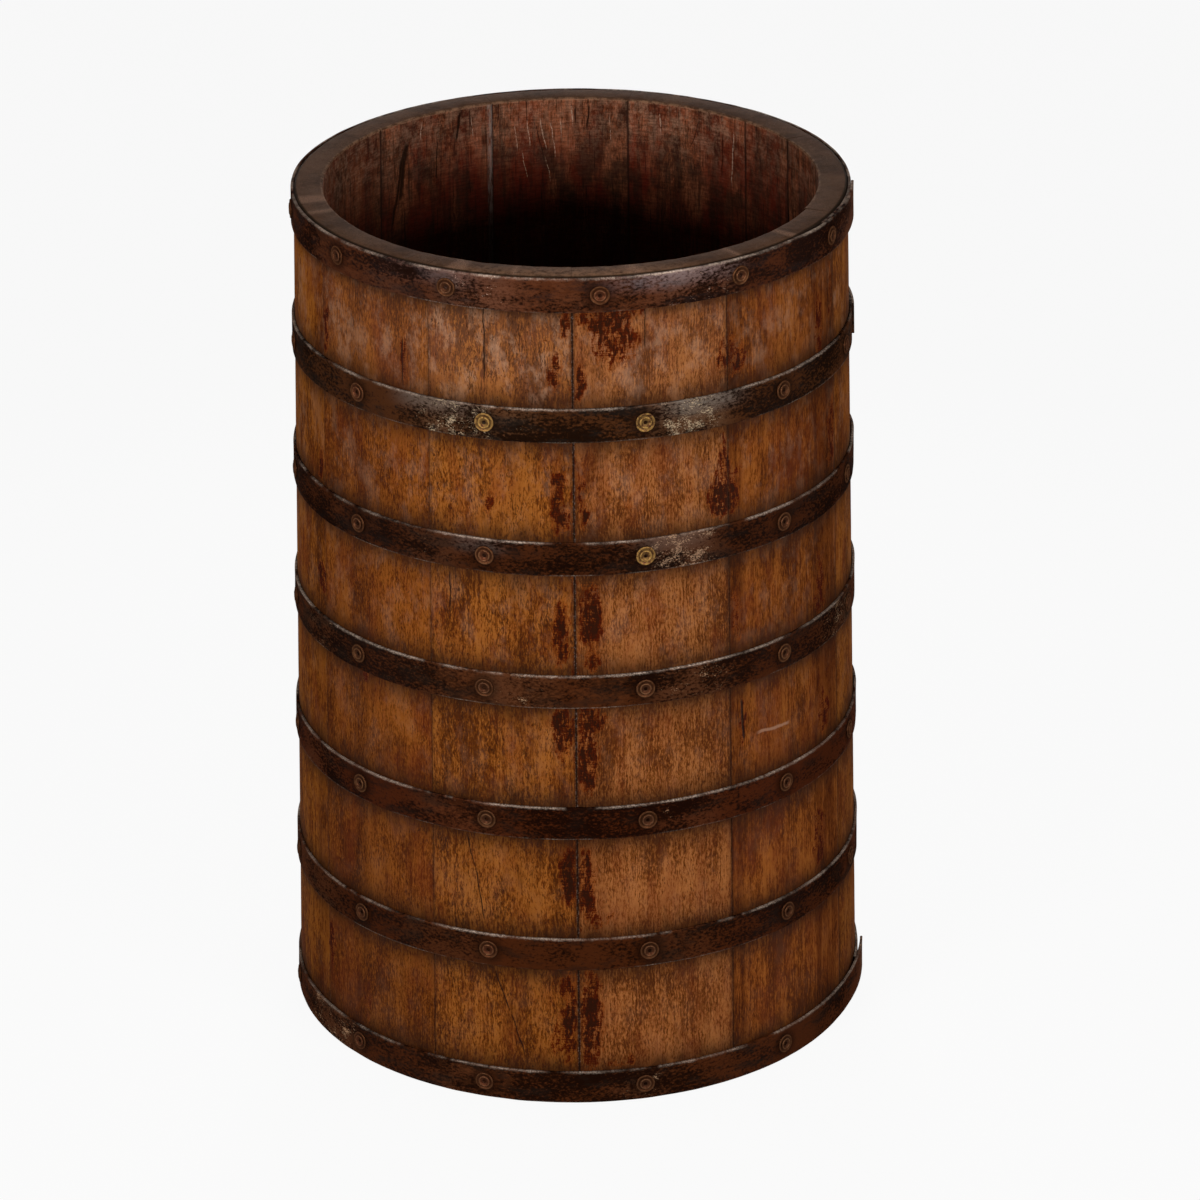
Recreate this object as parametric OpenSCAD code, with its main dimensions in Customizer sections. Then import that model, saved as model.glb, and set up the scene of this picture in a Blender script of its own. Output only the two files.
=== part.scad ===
// Iron-bound wooden barrel planter.
// Tapered staves stand in a ring, a boarded head sits in their croze, and seven lapped iron
// hoops are nailed round them. Origin: centre of the foot on the ground. +Z up, front towards -Y.
// Azimuths run from the front (0) towards +X (90), in degrees.

/* [Barrel body] */
// Height from the foot to the rim
barrel_h = 610; // [560:5:660]
// Diameter over the wood at the rim
rim_d = 380; // [370:1:396]
// Diameter over the wood at the foot
foot_d = 404; // [398:1:420]
// Thickness of a stave
stave_t = 20; // [18:0.5:24]
// Width of the bevel round the outside of the rim
rim_bevel = 2.4; // [1:0.1:3.5]
// Easing of the other stave ends
end_ease = 1.2; // [0.5:0.1:2]

/* [Staves] */
// Angle that each stave fills, from the joint at the front round towards +X
stave_span = [32.5, 35.5, 24.5, 24.5, 16.5, 32.5, 33, 32.5, 33.5, 33.5, 31.5, 30]; // [16:0.5:36]
// Depth of the fine groove between neighbouring staves
seam_depth = 0.6; // [0.3:0.1:1]
// Width of that groove at the surface
seam_w = 0.9; // [0.5:0.1:1.5]

/* [Head] */
// Height of the head's underside above the ground
head_z = 32; // [30:1:44]
// Thickness of the head boards
head_t = 16; // [14:0.5:20]
// Depth of the croze, the groove that holds the head
croze_depth = 5; // [4:0.5:6]
// Width of the croze and of the head's edge
croze_w = 5; // [4:0.5:6]
// Width of the bevel from the head's face to its edge
head_bevel = 16; // [12:1:24]
// Boards that make the head
head_boards = 4; // [4:1:4]
// Diameter of the dowels between the boards
dowel_d = 8; // [6:0.5:9]
// Length of a dowel
dowel_l = 36; // [30:1:50]
// Distance of the dowels from the middle of the head
dowel_y = 84; // [60:1:95]

/* [Hoops] */
// Width of the iron strap
strap_w = 24; // [20:0.5:26]
// Thickness of the iron strap
strap_t = 1.8; // [1.4:0.1:2.2]
// Height of each hoop's middle above the ground, rim hoop first
hoop_mid = [597.5, 506, 410.5, 313.5, 215.5, 116, 13]; // [13:0.5:598]
// Azimuth of each strap's outer end
lap_at = [88, 90, 108, 109.5, 108.5, 110, 89]; // [86:0.5:112]
// Way that each outer end points: 1 towards the back, -1 towards the front
lap_way = [1, -1, 1, 1, 1, 1, 1]; // [-1, 1]
// Angle over which each strap covers its own inner end
lap_span = [26, 16, 11, 11, 11, 11, 9]; // [6:0.5:28]
// Angle before that over which the strap climbs off the wood
climb_span = [12, 10, 10, 10, 10, 10, 15]; // [10:0.5:16]
// Gap under the foot hoop's outer end, which has sprung loose
loose_gap = 3.4; // [2.5:0.1:5]

/* [Nails and washers] */
// Azimuths of the rim hoop's nails
rim_nails = [5.5, 35.5, 64.5, 97.5, 124, 149, 180, 212, 243, 276, 305.5, 334.5]; // [0:0.5:360]
// Azimuths of the other hoops' nails, one to a stave
band_nails = [14, 46.5, 74.5, 101.5, 126.5, 149, 180, 212.5, 245.5, 279.5, 311.5, 342]; // [0:0.5:360]
// Turn of each hoop's nails from those azimuths, since they were placed by eye
nail_turn = [0, 0.3, 0.1, -0.2, 0, 0.1, -1]; // [-1:0.1:1]
// Diameter of a washer
washer_d = 13.6; // [13.2:0.2:15]
// Thickness of a washer at its raised rim
washer_t = 1.1; // [0.8:0.1:1.5]
// Diameter of a nail's hollow head
nail_head_d = 8.6; // [7:0.1:9]
// Height of the head above the strap
nail_head_h = 1.7; // [1.5:0.1:2.4]
// Depth of the hole down the middle of a head, below the strap's face
nail_hollow = 2.5; // [1:0.5:6]
// Diameter of a nail's shank
nail_d = 4; // [3:0.1:4.4]
// Length of a nail under its washer
nail_l = 18; // [14:0.5:18]

/* [Hidden] */
rim_r = rim_d / 2;
foot_r = foot_d / 2;
taper = (foot_r - rim_r) / barrel_h;
lean = atan(taper);
hoops = len(hoop_mid);
top_one = 0;
bottom_one = hoops - 1;

croze_mid = head_z + head_t / 2;
croze_lo = croze_mid - croze_w / 2;
croze_hi = croze_mid + croze_w / 2;
head_span = 2 * foot_r;
board_w = head_span / head_boards;
// Middles of the dowels: two across each joint between boards.
dowel_places = [for (j = [1 : head_boards - 1], side = [-1, 1])
    [j * board_w - head_span / 2, side * dowel_y, croze_mid]];

strap_ease = 0.4;
fit_gap = 0.02;
lap_gap = 0.05;
head_play = 0.3;
joint_inset = 0.1;
joint_angle = 0.35;
pilot_extra = 1;
nail_point = 4;
drill_point = 1.2;
wood_fn = 180;
nail_fn = 48;
past = 1;

wood = "#7a4526";
end_wood = "#6a4a33";
iron = "#3a2b22";
brass = "#8a6a3c";

// Radius over the staves at a height.
function wood_r(z) = foot_r - taper * z;

// Sum of the spans before stave i: the azimuth of its first joint.
function joint_at(i) = i == 0 ? 0 : joint_at(i - 1) + stave_span[i - 1];

// ---- The strap's path round the barrel -------------------------------------------------
// Most of a strap follows the wood. Its last stretch follows an equal circle whose centre is
// moved sideways, so that it leaves the wood at a shallow angle and clears the end below it.

function is_loose(h) = h == bottom_one;
// Angle from the start of the climb to the strap's outer end.
function reach_of(h) = climb_span[h] + lap_span[h];
// How far the outer layer's inner face rises off the wood, and over what angle. A closed lap
// lies flat on the layer under it, and the loose one goes on rising to its end.
function lift_of(h) = is_loose(h) ? loose_gap : strap_t + lap_gap;
function lift_over(h) = is_loose(h) ? reach_of(h) : climb_span[h];

// Sideways move of the second centre that gives that lift.
function centre_move(h) = lift_of(h) / sin(lift_over(h));
// Direction of the move, seen from the start of the climb.
function centre_turn(h, r) = acos(centre_move(h) / (2 * r));
// Angle at the second centre of the point that lies at angle a from the climb's start.
function angle_there(h, r, a) =
    a - asin(centre_move(h) * sin(centre_turn(h, r) - a) / r);
// Stand-off of the climbing stretch at angle a from its start.
function lift_at(h, r, a) =
    let (c = centre_move(h), b = centre_turn(h, r) - a)
    c * cos(b) + sqrt(r * r - pow(c * sin(b), 2)) - r;

// Angle from the start of the climb to an azimuth, the way the strap runs.
function into_climb(h, az) =
    let (start = lap_at[h] - lap_way[h] * reach_of(h))
    ((az - start) * lap_way[h] + 720) % 360;

// Stand-off of the strap's outer layer at an azimuth.
function stand_off(h, az) =
    let (a = into_climb(h, az), r = wood_r(hoop_mid[h]))
    a > reach_of(h) ? 0
    : a < lift_over(h) ? lift_at(h, r, a)
    : lift_of(h);

// Nails of a hoop. The loose end of the foot hoop has lost its nail.
function nails_of(h) =
    [for (place = h == top_one ? rim_nails : band_nails)
        let (az = place + nail_turn[h])
        if (!is_loose(h) || into_climb(h, az) > reach_of(h)) az];

// ---- Profiles ---------------------------------------------------------------------------

// Section of a stave on (radius, height), with the croze near its foot.
module stave_section() {
    polygon([
        [wood_r(0) - stave_t + end_ease, 0],
        [wood_r(0) - end_ease, 0],
        [wood_r(end_ease), end_ease],
        [wood_r(barrel_h - rim_bevel), barrel_h - rim_bevel],
        [wood_r(barrel_h) - rim_bevel * 0.35, barrel_h - rim_bevel * 0.35],
        [wood_r(barrel_h) - rim_bevel, barrel_h],
        [wood_r(barrel_h) - stave_t + end_ease, barrel_h],
        [wood_r(barrel_h) - stave_t + end_ease * 0.25, barrel_h - end_ease * 0.25],
        [wood_r(barrel_h - end_ease) - stave_t, barrel_h - end_ease],
        [wood_r(croze_hi) - stave_t, croze_hi],
        [wood_r(croze_mid) - stave_t + croze_depth, croze_hi],
        [wood_r(croze_mid) - stave_t + croze_depth, croze_lo],
        [wood_r(croze_lo) - stave_t, croze_lo],
        [wood_r(end_ease) - stave_t, end_ease]
    ]);
}

// Section of a strap on (radius, height), its outer edges eased. lift is the stand-off of its
// inner face, and inset draws the whole section in a little.
module strap_section(h, lift, inset = 0) {
    lo = hoop_mid[h] - strap_w / 2 + inset;
    hi = hoop_mid[h] + strap_w / 2 - inset;
    under = lift + inset;
    over = lift + strap_t - inset;
    polygon([
        [wood_r(lo) + under, lo],
        [wood_r(lo) + over - strap_ease, lo],
        [wood_r(lo + strap_ease) + over, lo + strap_ease],
        [wood_r(hi - strap_ease) + over, hi - strap_ease],
        [wood_r(hi) + over - strap_ease, hi],
        [wood_r(hi) + under, hi]
    ]);
}

// ---- Places -----------------------------------------------------------------------------

// Turns +X to an azimuth.
module turn_to(az) rotate([0, 0, az - 90]) children();

// Puts its children at a nail's place on a hoop, +Z square to the wood and away from it.
module at_nail(h, az) {
    seat = wood_r(hoop_mid[h]) + stand_off(h, az) + strap_t;
    turn_to(az) translate([seat, 0, hoop_mid[h]]) rotate([0, 90 - lean, 0]) children();
}

// ---- Staves -----------------------------------------------------------------------------

// Hole that a nail is driven into: it runs past the strap, and ends in a drill point.
module pilot_hole() {
    r = nail_d / 2 + fit_gap;
    bottom = -(nail_l + pilot_extra);
    translate([0, 0, bottom]) cylinder(r = r, h = -bottom + past, $fn = nail_fn);
    translate([0, 0, bottom - drill_point])
        cylinder(r1 = 0.2, r2 = r, h = drill_point, $fn = nail_fn);
}

// Prism that eases one long outer corner of a stave into half of the fine seam groove.
module seam_cut(az) {
    half_w = seam_w / 2 * (seam_depth + past) / seam_depth;
    turn_to(az) rotate([0, -lean, 0])
        translate([foot_r * cos(lean), 0, -foot_r * sin(lean) - past])
            linear_extrude(barrel_h + 4 * past)
                polygon([[-seam_depth, 0], [past, -half_w], [past, half_w]]);
}

module stave(i) {
    first = joint_at(i);
    last = first + stave_span[i];
    color(wood) difference() {
        turn_to(first) rotate_extrude(angle = stave_span[i], $fn = wood_fn) stave_section();
        seam_cut(first);
        seam_cut(last);
        for (h = [0 : hoops - 1], az = nails_of(h))
            if (az > first && az < last) at_nail(h, az) pilot_hole();
    }
}

// ---- Head -------------------------------------------------------------------------------

// The whole head: bevelled on both faces to the thin edge that the croze holds.
module head_disc() {
    edge_r = wood_r(croze_mid) - stave_t + croze_depth - head_play;
    face_r = edge_r - head_bevel;
    rotate_extrude($fn = wood_fn) polygon([
        [0, head_z],
        [face_r, head_z],
        [edge_r - croze_depth, croze_lo],
        [edge_r, croze_lo],
        [edge_r, croze_hi],
        [edge_r - croze_depth, croze_hi],
        [face_r, head_z + head_t],
        [0, head_z + head_t]
    ]);
}

module dowel(extra) {
    r = dowel_d / 2 + extra;
    l = dowel_l + 2 * extra;
    ease = dowel_d / 10;
    rotate([0, 90, 0]) rotate_extrude($fn = nail_fn)
        polygon([[0, -l / 2], [r - ease, -l / 2], [r, ease - l / 2],
            [r, l / 2 - ease], [r - ease, l / 2], [0, l / 2]]);
}

module head_board(j) {
    color(end_wood) difference() {
        intersection() {
            head_disc();
            translate([j * board_w - head_span / 2, -head_span / 2, 0])
                cube([board_w, head_span, head_z + head_t + past]);
        }
        for (p = dowel_places) translate(p) dowel(fit_gap);
    }
}

module head_dowels() {
    color(wood) for (p = dowel_places) translate(p) dowel(0);
}

// ---- Hoops ------------------------------------------------------------------------------

// One strap, drawn with its outer end towards +azimuth at lap_at, before nail holes.
// The climbing stretch is a hair thinner, so that its ends sit inside the stretches it joins.
module strap(h) {
    r = wood_r(hoop_mid[h]);
    inner_end = lap_at[h] - lap_span[h];
    climb_start = inner_end - climb_span[h];
    climb_reach = lift_over(h) + (is_loose(h) ? 0 : joint_angle);
    from = angle_there(h, r, -joint_angle);
    to = angle_there(h, r, climb_reach);
    turn_to(inner_end) rotate_extrude(angle = 360 - climb_span[h], $fn = wood_fn)
        strap_section(h, 0);
    turn_to(climb_start + centre_turn(h, r)) translate([centre_move(h), 0, 0])
        rotate([0, 0, from - centre_turn(h, r)])
            rotate_extrude(angle = to - from, $fn = wood_fn) strap_section(h, 0, joint_inset);
    if (!is_loose(h))
        turn_to(inner_end) rotate_extrude(angle = lap_span[h], $fn = wood_fn)
            strap_section(h, lift_of(h));
}

module hoop(h) {
    color(iron) difference() {
        if (lap_way[h] > 0) strap(h);
        else turn_to(lap_at[h]) mirror([0, 1, 0]) rotate([0, 0, 90 - lap_at[h]]) strap(h);
        for (az = nails_of(h)) at_nail(h, az)
            translate([0, 0, -3 * strap_t]) cylinder(d = nail_d + 2 * fit_gap, h = 4 * strap_t,
                $fn = nail_fn);
    }
}

// ---- Washers and nails ------------------------------------------------------------------

// Cupped washer: flat below, a rounded rim above, and a flat where the nail head bears.
module washer() {
    r = washer_d / 2;
    bore = nail_d / 2 + fit_gap;
    seat = nail_head_d / 2 + 0.3;
    floor_t = washer_t * 0.55;
    rotate_extrude($fn = nail_fn) polygon([
        [bore, 0],
        [r - 0.3, 0],
        [r, washer_t * 0.4],
        [r - 0.25, washer_t * 0.85],
        [r - 0.7, washer_t],
        [r - 1.2, washer_t * 0.9],
        [r - 1.9, floor_t * 1.05],
        [seat, floor_t],
        [bore, floor_t]
    ]);
}

// Nail with a hollow, rolled head: a round lip about a cup, a hole down its middle, a shank and
// a point.
module nail() {
    rest = washer_t * 0.55;
    r = nail_head_d / 2;
    top = nail_head_h;
    shank = nail_d / 2;
    hole = shank * 0.6;
    rotate_extrude($fn = nail_fn) polygon([
        [0, -nail_l],
        [shank, nail_point - nail_l],
        [shank, rest],
        [r - 0.3, rest],
        [r, rest + 0.35],
        [r - 0.1, top - 0.35],
        [r - 0.45, top],
        [r - 0.95, top],
        [r - 1.4, top - 0.3],
        [r - 1.7, rest + 0.4],
        [hole, rest + 0.25],
        [hole, -nail_hollow],
        [0, -nail_hollow - hole / 2]
    ]);
}

module hoop_washers(h) {
    color(brass) for (az = nails_of(h)) at_nail(h, az) washer();
}

module hoop_nails(h) {
    color(brass) for (az = nails_of(h)) at_nail(h, az) nail();
}

// ---- The assembly -----------------------------------------------------------------------

stave(0);  // stave_01
stave(1);  // stave_02
stave(2);  // stave_03
stave(3);  // stave_04
stave(4);  // stave_05
stave(5);  // stave_06
stave(6);  // stave_07
stave(7);  // stave_08
stave(8);  // stave_09
stave(9);  // stave_10
stave(10);  // stave_11
stave(11);  // stave_12
head_board(0);  // head_board_1
head_board(1);  // head_board_2
head_board(2);  // head_board_3
head_board(3);  // head_board_4
head_dowels();
hoop(0);  // rim_hoop
hoop(1);  // hoop_2
hoop(2);  // hoop_3
hoop(3);  // hoop_4
hoop(4);  // hoop_5
hoop(5);  // hoop_6
hoop(6);  // foot_hoop
hoop_washers(0);  // rim_hoop_washers
hoop_washers(1);  // hoop_2_washers
hoop_washers(2);  // hoop_3_washers
hoop_washers(3);  // hoop_4_washers
hoop_washers(4);  // hoop_5_washers
hoop_washers(5);  // hoop_6_washers
hoop_washers(6);  // foot_hoop_washers
hoop_nails(0);  // rim_hoop_nails
hoop_nails(1);  // hoop_2_nails
hoop_nails(2);  // hoop_3_nails
hoop_nails(3);  // hoop_4_nails
hoop_nails(4);  // hoop_5_nails
hoop_nails(5);  // hoop_6_nails
hoop_nails(6);  // foot_hoop_nails
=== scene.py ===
import math
import random

import bmesh
import bpy
from bpy.props import FloatProperty, FloatVectorProperty, PointerProperty
from bpy.types import Operator, Panel, PropertyGroup
from mathutils import Matrix, Vector, noise


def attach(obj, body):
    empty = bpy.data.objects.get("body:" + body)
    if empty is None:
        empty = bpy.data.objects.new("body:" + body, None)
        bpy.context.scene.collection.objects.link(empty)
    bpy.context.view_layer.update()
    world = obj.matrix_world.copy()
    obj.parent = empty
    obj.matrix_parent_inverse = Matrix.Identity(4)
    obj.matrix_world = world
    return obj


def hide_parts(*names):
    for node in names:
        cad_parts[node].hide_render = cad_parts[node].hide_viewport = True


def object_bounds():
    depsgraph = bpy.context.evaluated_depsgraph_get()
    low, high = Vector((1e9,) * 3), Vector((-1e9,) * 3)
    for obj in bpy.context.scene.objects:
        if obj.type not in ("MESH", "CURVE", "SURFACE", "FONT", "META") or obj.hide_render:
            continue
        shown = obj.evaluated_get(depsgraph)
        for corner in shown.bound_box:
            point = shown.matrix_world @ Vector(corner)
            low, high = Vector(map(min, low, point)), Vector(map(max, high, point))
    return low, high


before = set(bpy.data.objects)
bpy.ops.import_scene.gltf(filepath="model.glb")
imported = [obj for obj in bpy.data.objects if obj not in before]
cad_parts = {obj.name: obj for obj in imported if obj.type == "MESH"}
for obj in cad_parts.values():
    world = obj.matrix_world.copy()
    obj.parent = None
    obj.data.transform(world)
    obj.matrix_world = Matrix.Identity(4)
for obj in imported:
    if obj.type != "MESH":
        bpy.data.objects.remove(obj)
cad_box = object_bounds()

bl_info = {
    "name": "Barrel Planter",
    "version": (1, 0, 0),
    "blender": (4, 5, 0),
    "location": "View3D > Sidebar > Barrel",
    "description": "Coopered wooden barrel planter with iron hoops, brass washers and nails",
    "category": "Add Mesh",
}

MM = 0.001
# Corners closer than this are one corner.
SAME_PLACE = 0.002 * MM

# ---- The cooper's plan, as in the part's source ---------------------------------------------
# Azimuths run from the front (0) towards +X (90), in degrees. Heights are in millimetres.

STAVE_SPAN = (32.5, 35.5, 24.5, 24.5, 16.5, 32.5, 33, 32.5, 33.5, 33.5, 31.5, 30)
HOOPS = ("rim_hoop", "hoop_2", "hoop_3", "hoop_4", "hoop_5", "hoop_6", "foot_hoop")
HOOP_MID = (597.5, 506, 410.5, 313.5, 215.5, 116, 13)
LAP_AT = (88, 90, 108, 109.5, 108.5, 110, 89)
LAP_WAY = (1, -1, 1, 1, 1, 1, 1)
LAP_SPAN = (26, 16, 11, 11, 11, 11, 9)
CLIMB_SPAN = (12, 10, 10, 10, 10, 10, 15)
LOOSE_GAP = 3.4
RIM_NAILS = (5.5, 35.5, 64.5, 97.5, 124, 149, 180, 212, 243, 276, 305.5, 334.5)
BAND_NAILS = (14, 46.5, 74.5, 101.5, 126.5, 149, 180, 212.5, 245.5, 279.5, 311.5, 342)
NAIL_TURN = (0, 0.3, 0.1, -0.2, 0, 0.1, -1)
HEAD_Z, HEAD_T, HEAD_BEVEL, HEAD_BOARDS = 32, 16, 16, 4
CROZE_W, CROZE_DEPTH = 5, 5
LAP_GAP, HEAD_PLAY = 0.05, 0.3
RIM_Z = 610
# In metres: the rim's radius, the radius at which a stave's width is measured, half a strap.
RIM_RADIUS, ARC_RADIUS, HALF_STRAP = 0.19, 0.196, 0.012
# Between these heights, in metres, a stave's level faces are the croze and not its ends.
CROZE_BAND = (0.02, 0.6)
X, Z = 0, 2
# How fine the pieces are cut, in metres: across a stave and up it, and along a strap. Then the
# rows of a strap, and the steps and easing of what is turned.
STAVE_GRID, STRAP_GRID, STRAP_ROWS = (3.2 * MM, 5.2 * MM), 3.6 * MM, 7
HEAD_STEPS, HEAD_EASE = 96, 0.7 * MM
WASHER_STEPS, NAIL_STEPS = 28, 24

# ---- What the years left on it --------------------------------------------------------------

# Dark spilt stain: azimuth, height, half width, half height, strength.
STAINS = (
    (-3.4, 540, 4.5, 16, 1.2), (-1.5, 577, 4, 9, 1.0), (-4.8, 567, 2.2, 9, 0.7),
    (7.5, 579, 24, 7, 1.3), (8.5, 563, 15, 22, 1.0), (1.6, 536, 5, 16, 1.2),
    (10.5, 552, 5, 9, 0.7), (33.4, 541, 12, 16, 0.95), (60.4, 534, 6, 30, 0.8),
    (66, 556, 4, 24, 0.6), (-36.1, 544, 3, 20, 0.9),
    (-2.7, 466, 6, 9, 1.3), (-3.1, 444, 6.5, 17, 1.2), (-17.0, 453, 5, 8, 0.8),
    (1.6, 452, 3.2, 24, 1.1), (11.5, 447, 7, 8, 0.5), (31.3, 443, 13, 15, 1.4),
    (31.6, 470, 5, 22, 0.9), (35.0, 460, 6, 6, 0.7), (66.2, 452, 7, 26, 0.85),
    (-2.8, 356, 5.5, 26, 1.3), (3.0, 368, 8, 24, 1.3), (2.8, 336, 6, 9, 1.1),
    (34.1, 350, 4, 20, 0.7), (59.9, 345, 8, 28, 0.8), (-49.2, 370, 6, 7, 0.6),
    (-2.6, 280, 7, 22, 1.4), (3.4, 294, 12, 7, 1.3), (2.4, 264, 8, 26, 1.2),
    (35.3, 272, 3, 20, 0.9), (61.2, 250, 9, 20, 0.8), (-47.9, 292, 4, 8, 0.8),
    (-2.0, 172, 5.5, 26, 1.4), (1.8, 168, 6.5, 28, 1.3), (4.4, 143, 10, 8, 0.9),
    (58.8, 155, 8, 27, 0.8), (-2.0, 66, 5.5, 34, 1.3), (2.4, 62, 8, 38, 1.3),
    (-4.3, 50, 5.5, 14, 0.9), (-47.5, 42, 5, 12, 0.6), (8.5, 33, 10, 6, 0.8),
)
# The seed and the azimuths between which more stains are drawn, at the joints of the back.
STAIN_SEED, BACK_STAINS = 41, (75, 325)
# How far the grime reaches from the rim hoop and from the others, in millimetres.
GRIME_REACH = (6.5, 10.5)
# Filler in the front joint and in the others.
FRONT_FILLER, OTHER_FILLER = 0.6, 0.1
# Dark streaks down the wood: azimuth, half width, strength.
DARK_STREAKS = (
    (62, 4.5, 1.6), (34, 2.2, 0.8), (-49, 2.5, 0.5), (-10, 4, 0.35), (3.5, 3.2, 0.45),
    (-2.5, 2.6, 0.45), (120, 5, 0.8), (163, 4, 0.7), (214, 5, 0.8), (262, 4, 0.9), (296, 3, 0.6),
)
# Fine lines: azimuth and height at the top, the same at the foot, half width.
CRACKS = (
    (-17.8, 588, -17.9, 532, 0.6), (-22.4, 202, -20.6, 176, 0.6), (-20.6, 176, -18.8, 136, 0.6),
    (-16.8, 100, -13.6, 68, 0.6), (-13.6, 68, -10.6, 34, 0.6), (14.6, 588, 14.5, 556, 0.5),
    (35.1, 291, 35.8, 256, 1.3), (-25.5, 395, -25.6, 362, 0.5), (-36.2, 556, -36.4, 520, 0.5),
)
INSIDE_CRACKS = (
    (175.2, 606, 176.2, 584, 0.9), (178.6, 604, 178.9, 588, 0.7), (207.2, 607, 208.7, 582, 1.5),
    (222.7, 594, 225.4, 548, 3.4), (223.4, 590, 228.1, 530, 2.0), (188.1, 591, 186.2, 560, 0.5),
    (147.2, 602, 150, 578, 0.5), (140.5, 596, 141.2, 560, 0.5), (213.5, 590, 214.2, 556, 0.6),
)
INSIDE_SCRATCHES = (
    (179.6, 605, 179.4, 587, 0.8), (190.5, 595, 189.6, 572, 0.45), (187.1, 596, 185.7, 570, 0.5),
    (184.7, 592, 183.5, 563, 0.45), (191.8, 572, 189.9, 547, 0.4), (182.5, 595, 182, 578, 0.4),
    (193.4, 592, 192.8, 570, 0.35), (186, 566, 184.6, 545, 0.4), (204.4, 603, 204.0, 584, 0.4),
    (170.5, 598, 170.0, 575, 0.35), (158, 603, 157.6, 584, 0.5), (218, 606, 218.6, 590, 0.5),
    (137.2, 600, 137.9, 556, 0.6),
)
# Worn patches on the iron, and painted highlights where the lamps would glint on it: hoop, azimuth,
# half width, strength.
WORN_AND_GLINT_IRON = (
    (0, -20, 9, 0.7), (0, 26, 9, 0.7), (0, -40, 6, 0.4), (1, -24, 9, 1.0), (1, 24, 8, 1.1),
    (1, -11, 4, 0.6), (2, 22, 8, 1.1), (2, -30, 6, 0.5), (3, 24, 9, 0.8), (3, -33, 12, 0.4),
    (4, 22, 7, 0.5), (4, -25, 9, 0.45), (5, 22, 6, 0.3), (5, -28, 10, 0.4), (6, -25, 6, 0.3),
    (6, 12, 6, 0.6), (2, 12, 4, 0.5), (3, -12, 8, 0.6),
)
# Painted sheen, a cool, smooth reflection on the upper half of the iron: hoop, azimuth, half width,
# strength.
PAINTED_SHEEN = ((0, 22, 13, 1.0), (0, -30, 10, 0.4), (1, 27, 9, 0.9), (1, -28, 9, 0.6), (2, 20, 7, 0.4),
         (2, -19, 5, 0.6))
# Brown rust on the iron: hoop, azimuth, half width, strength.
RUST = (
    (3, -15, 13, 1.2), (0, -56, 8, 0.8), (0, 0, 22, 0.6), (3, 4, 8, 0.7), (4, -20, 10, 0.6),
    (6, -20, 9, 0.5), (2, -50, 8, 0.5),
)
# Pale marks on top of the rim: azimuth, half width in degrees.
RIM_MARKS = ((-24, 2.2), (13, 2.0), (-78.5, 3.0), (-70.5, 1.2), (36, 1.0), (-12, 0.8), (52, 1.2))
# Nails that stayed bright, and nails of redder metal: hoop, and place in its row of nails.
BRIGHT_NAILS = ((1, 11), (1, 0), (2, 0))
COPPER_NAILS = ((5, 11), (6, 11), (6, 10), (1, 10), (2, 11), (0, 0))
# How dark the line of each stave's first joint is.
JOINT_LINE = (1.0, 0.5, 0.5, 0.5, 0.5, 0.5, 0.6, 0.5, 0.5, 0.5, 0.2, 0.3)
# Each stave's figure: how far its grain sways, its share of pores, its mottle, its tint and how
# light its foot is.
STAVE_FIGURE = (
    (0.012, 0.56, 0.85, (0.94, 0.94, 1.15), 1.22), (0.008, 0.38, 0.55, (0.80, 0.68, 0.52), 1.35),
    (0.006, 0.50, 0.60, (0.98, 0.90, 0.62), 1.0), (0.010, 0.60, 0.60, (1.00, 0.92, 0.66), 1.1),
    (0.005, 0.50, 0.50, (0.88, 0.80, 0.58), 1.0), (0.012, 0.65, 0.80, (1.02, 0.95, 0.76), 0.95),
    (0.016, 0.60, 0.90, (0.92, 0.86, 0.66), 1.05), (0.008, 0.50, 0.60, (1.03, 0.96, 0.78), 1.1),
    (0.010, 0.65, 0.60, (0.90, 0.82, 0.56), 0.95), (0.014, 0.52, 0.80, (0.96, 0.85, 0.46), 1.0),
    (0.005, 0.58, 0.85, (0.77, 0.64, 0.42), 0.98), (0.009, 0.80, 0.85, (0.90, 0.82, 0.60), 1.08),
)
# Tint of each hoop's iron.
IRON_TINT = ((1.35, 1.15, 1.25), (1.2, 1.2, 1.15), (1.0, 0.82, 0.75), (1.15, 0.92, 0.78),
             (1.25, 0.86, 0.7), (1.25, 0.94, 0.74), (1.4, 1.12, 0.95))
# How dry and pale each stave is at its top. The paleness is partly dry wood and partly a painted
# sheen.
DRYNESS_AND_SHEEN = (0.08, 0.03, 0.05, 0.05, 0.05, 0.1, 0.1, 0.05, 0.1, 0.02, 0.10, 0.20)
# How light each stave is inside.
INSIDE_SHADE = (0.8, 0.9, 1.0, 0.9, 0.95, 1.15, 0.95, 0.95, 0.6, 0.85, 0.9, 0.7)
# How dusty each stave is at the top of its inside.
INSIDE_DUST = (0.3, 0.3, 0.3, 0.25, 0.3, 0.5, 0.34, 0.34, 0.35, 0.3, 0.3, 0.3)
# A pale scratch on one stave: its height, slope, start, end and half width, in metres.
SCRATCHED_STAVE, LONG_SCRATCH = 1, (0.261, -0.087, 0.132, 0.1666, 0.0016)
# The stave with filler down its joint inside.
FILLED_STAVE = 7
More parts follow.
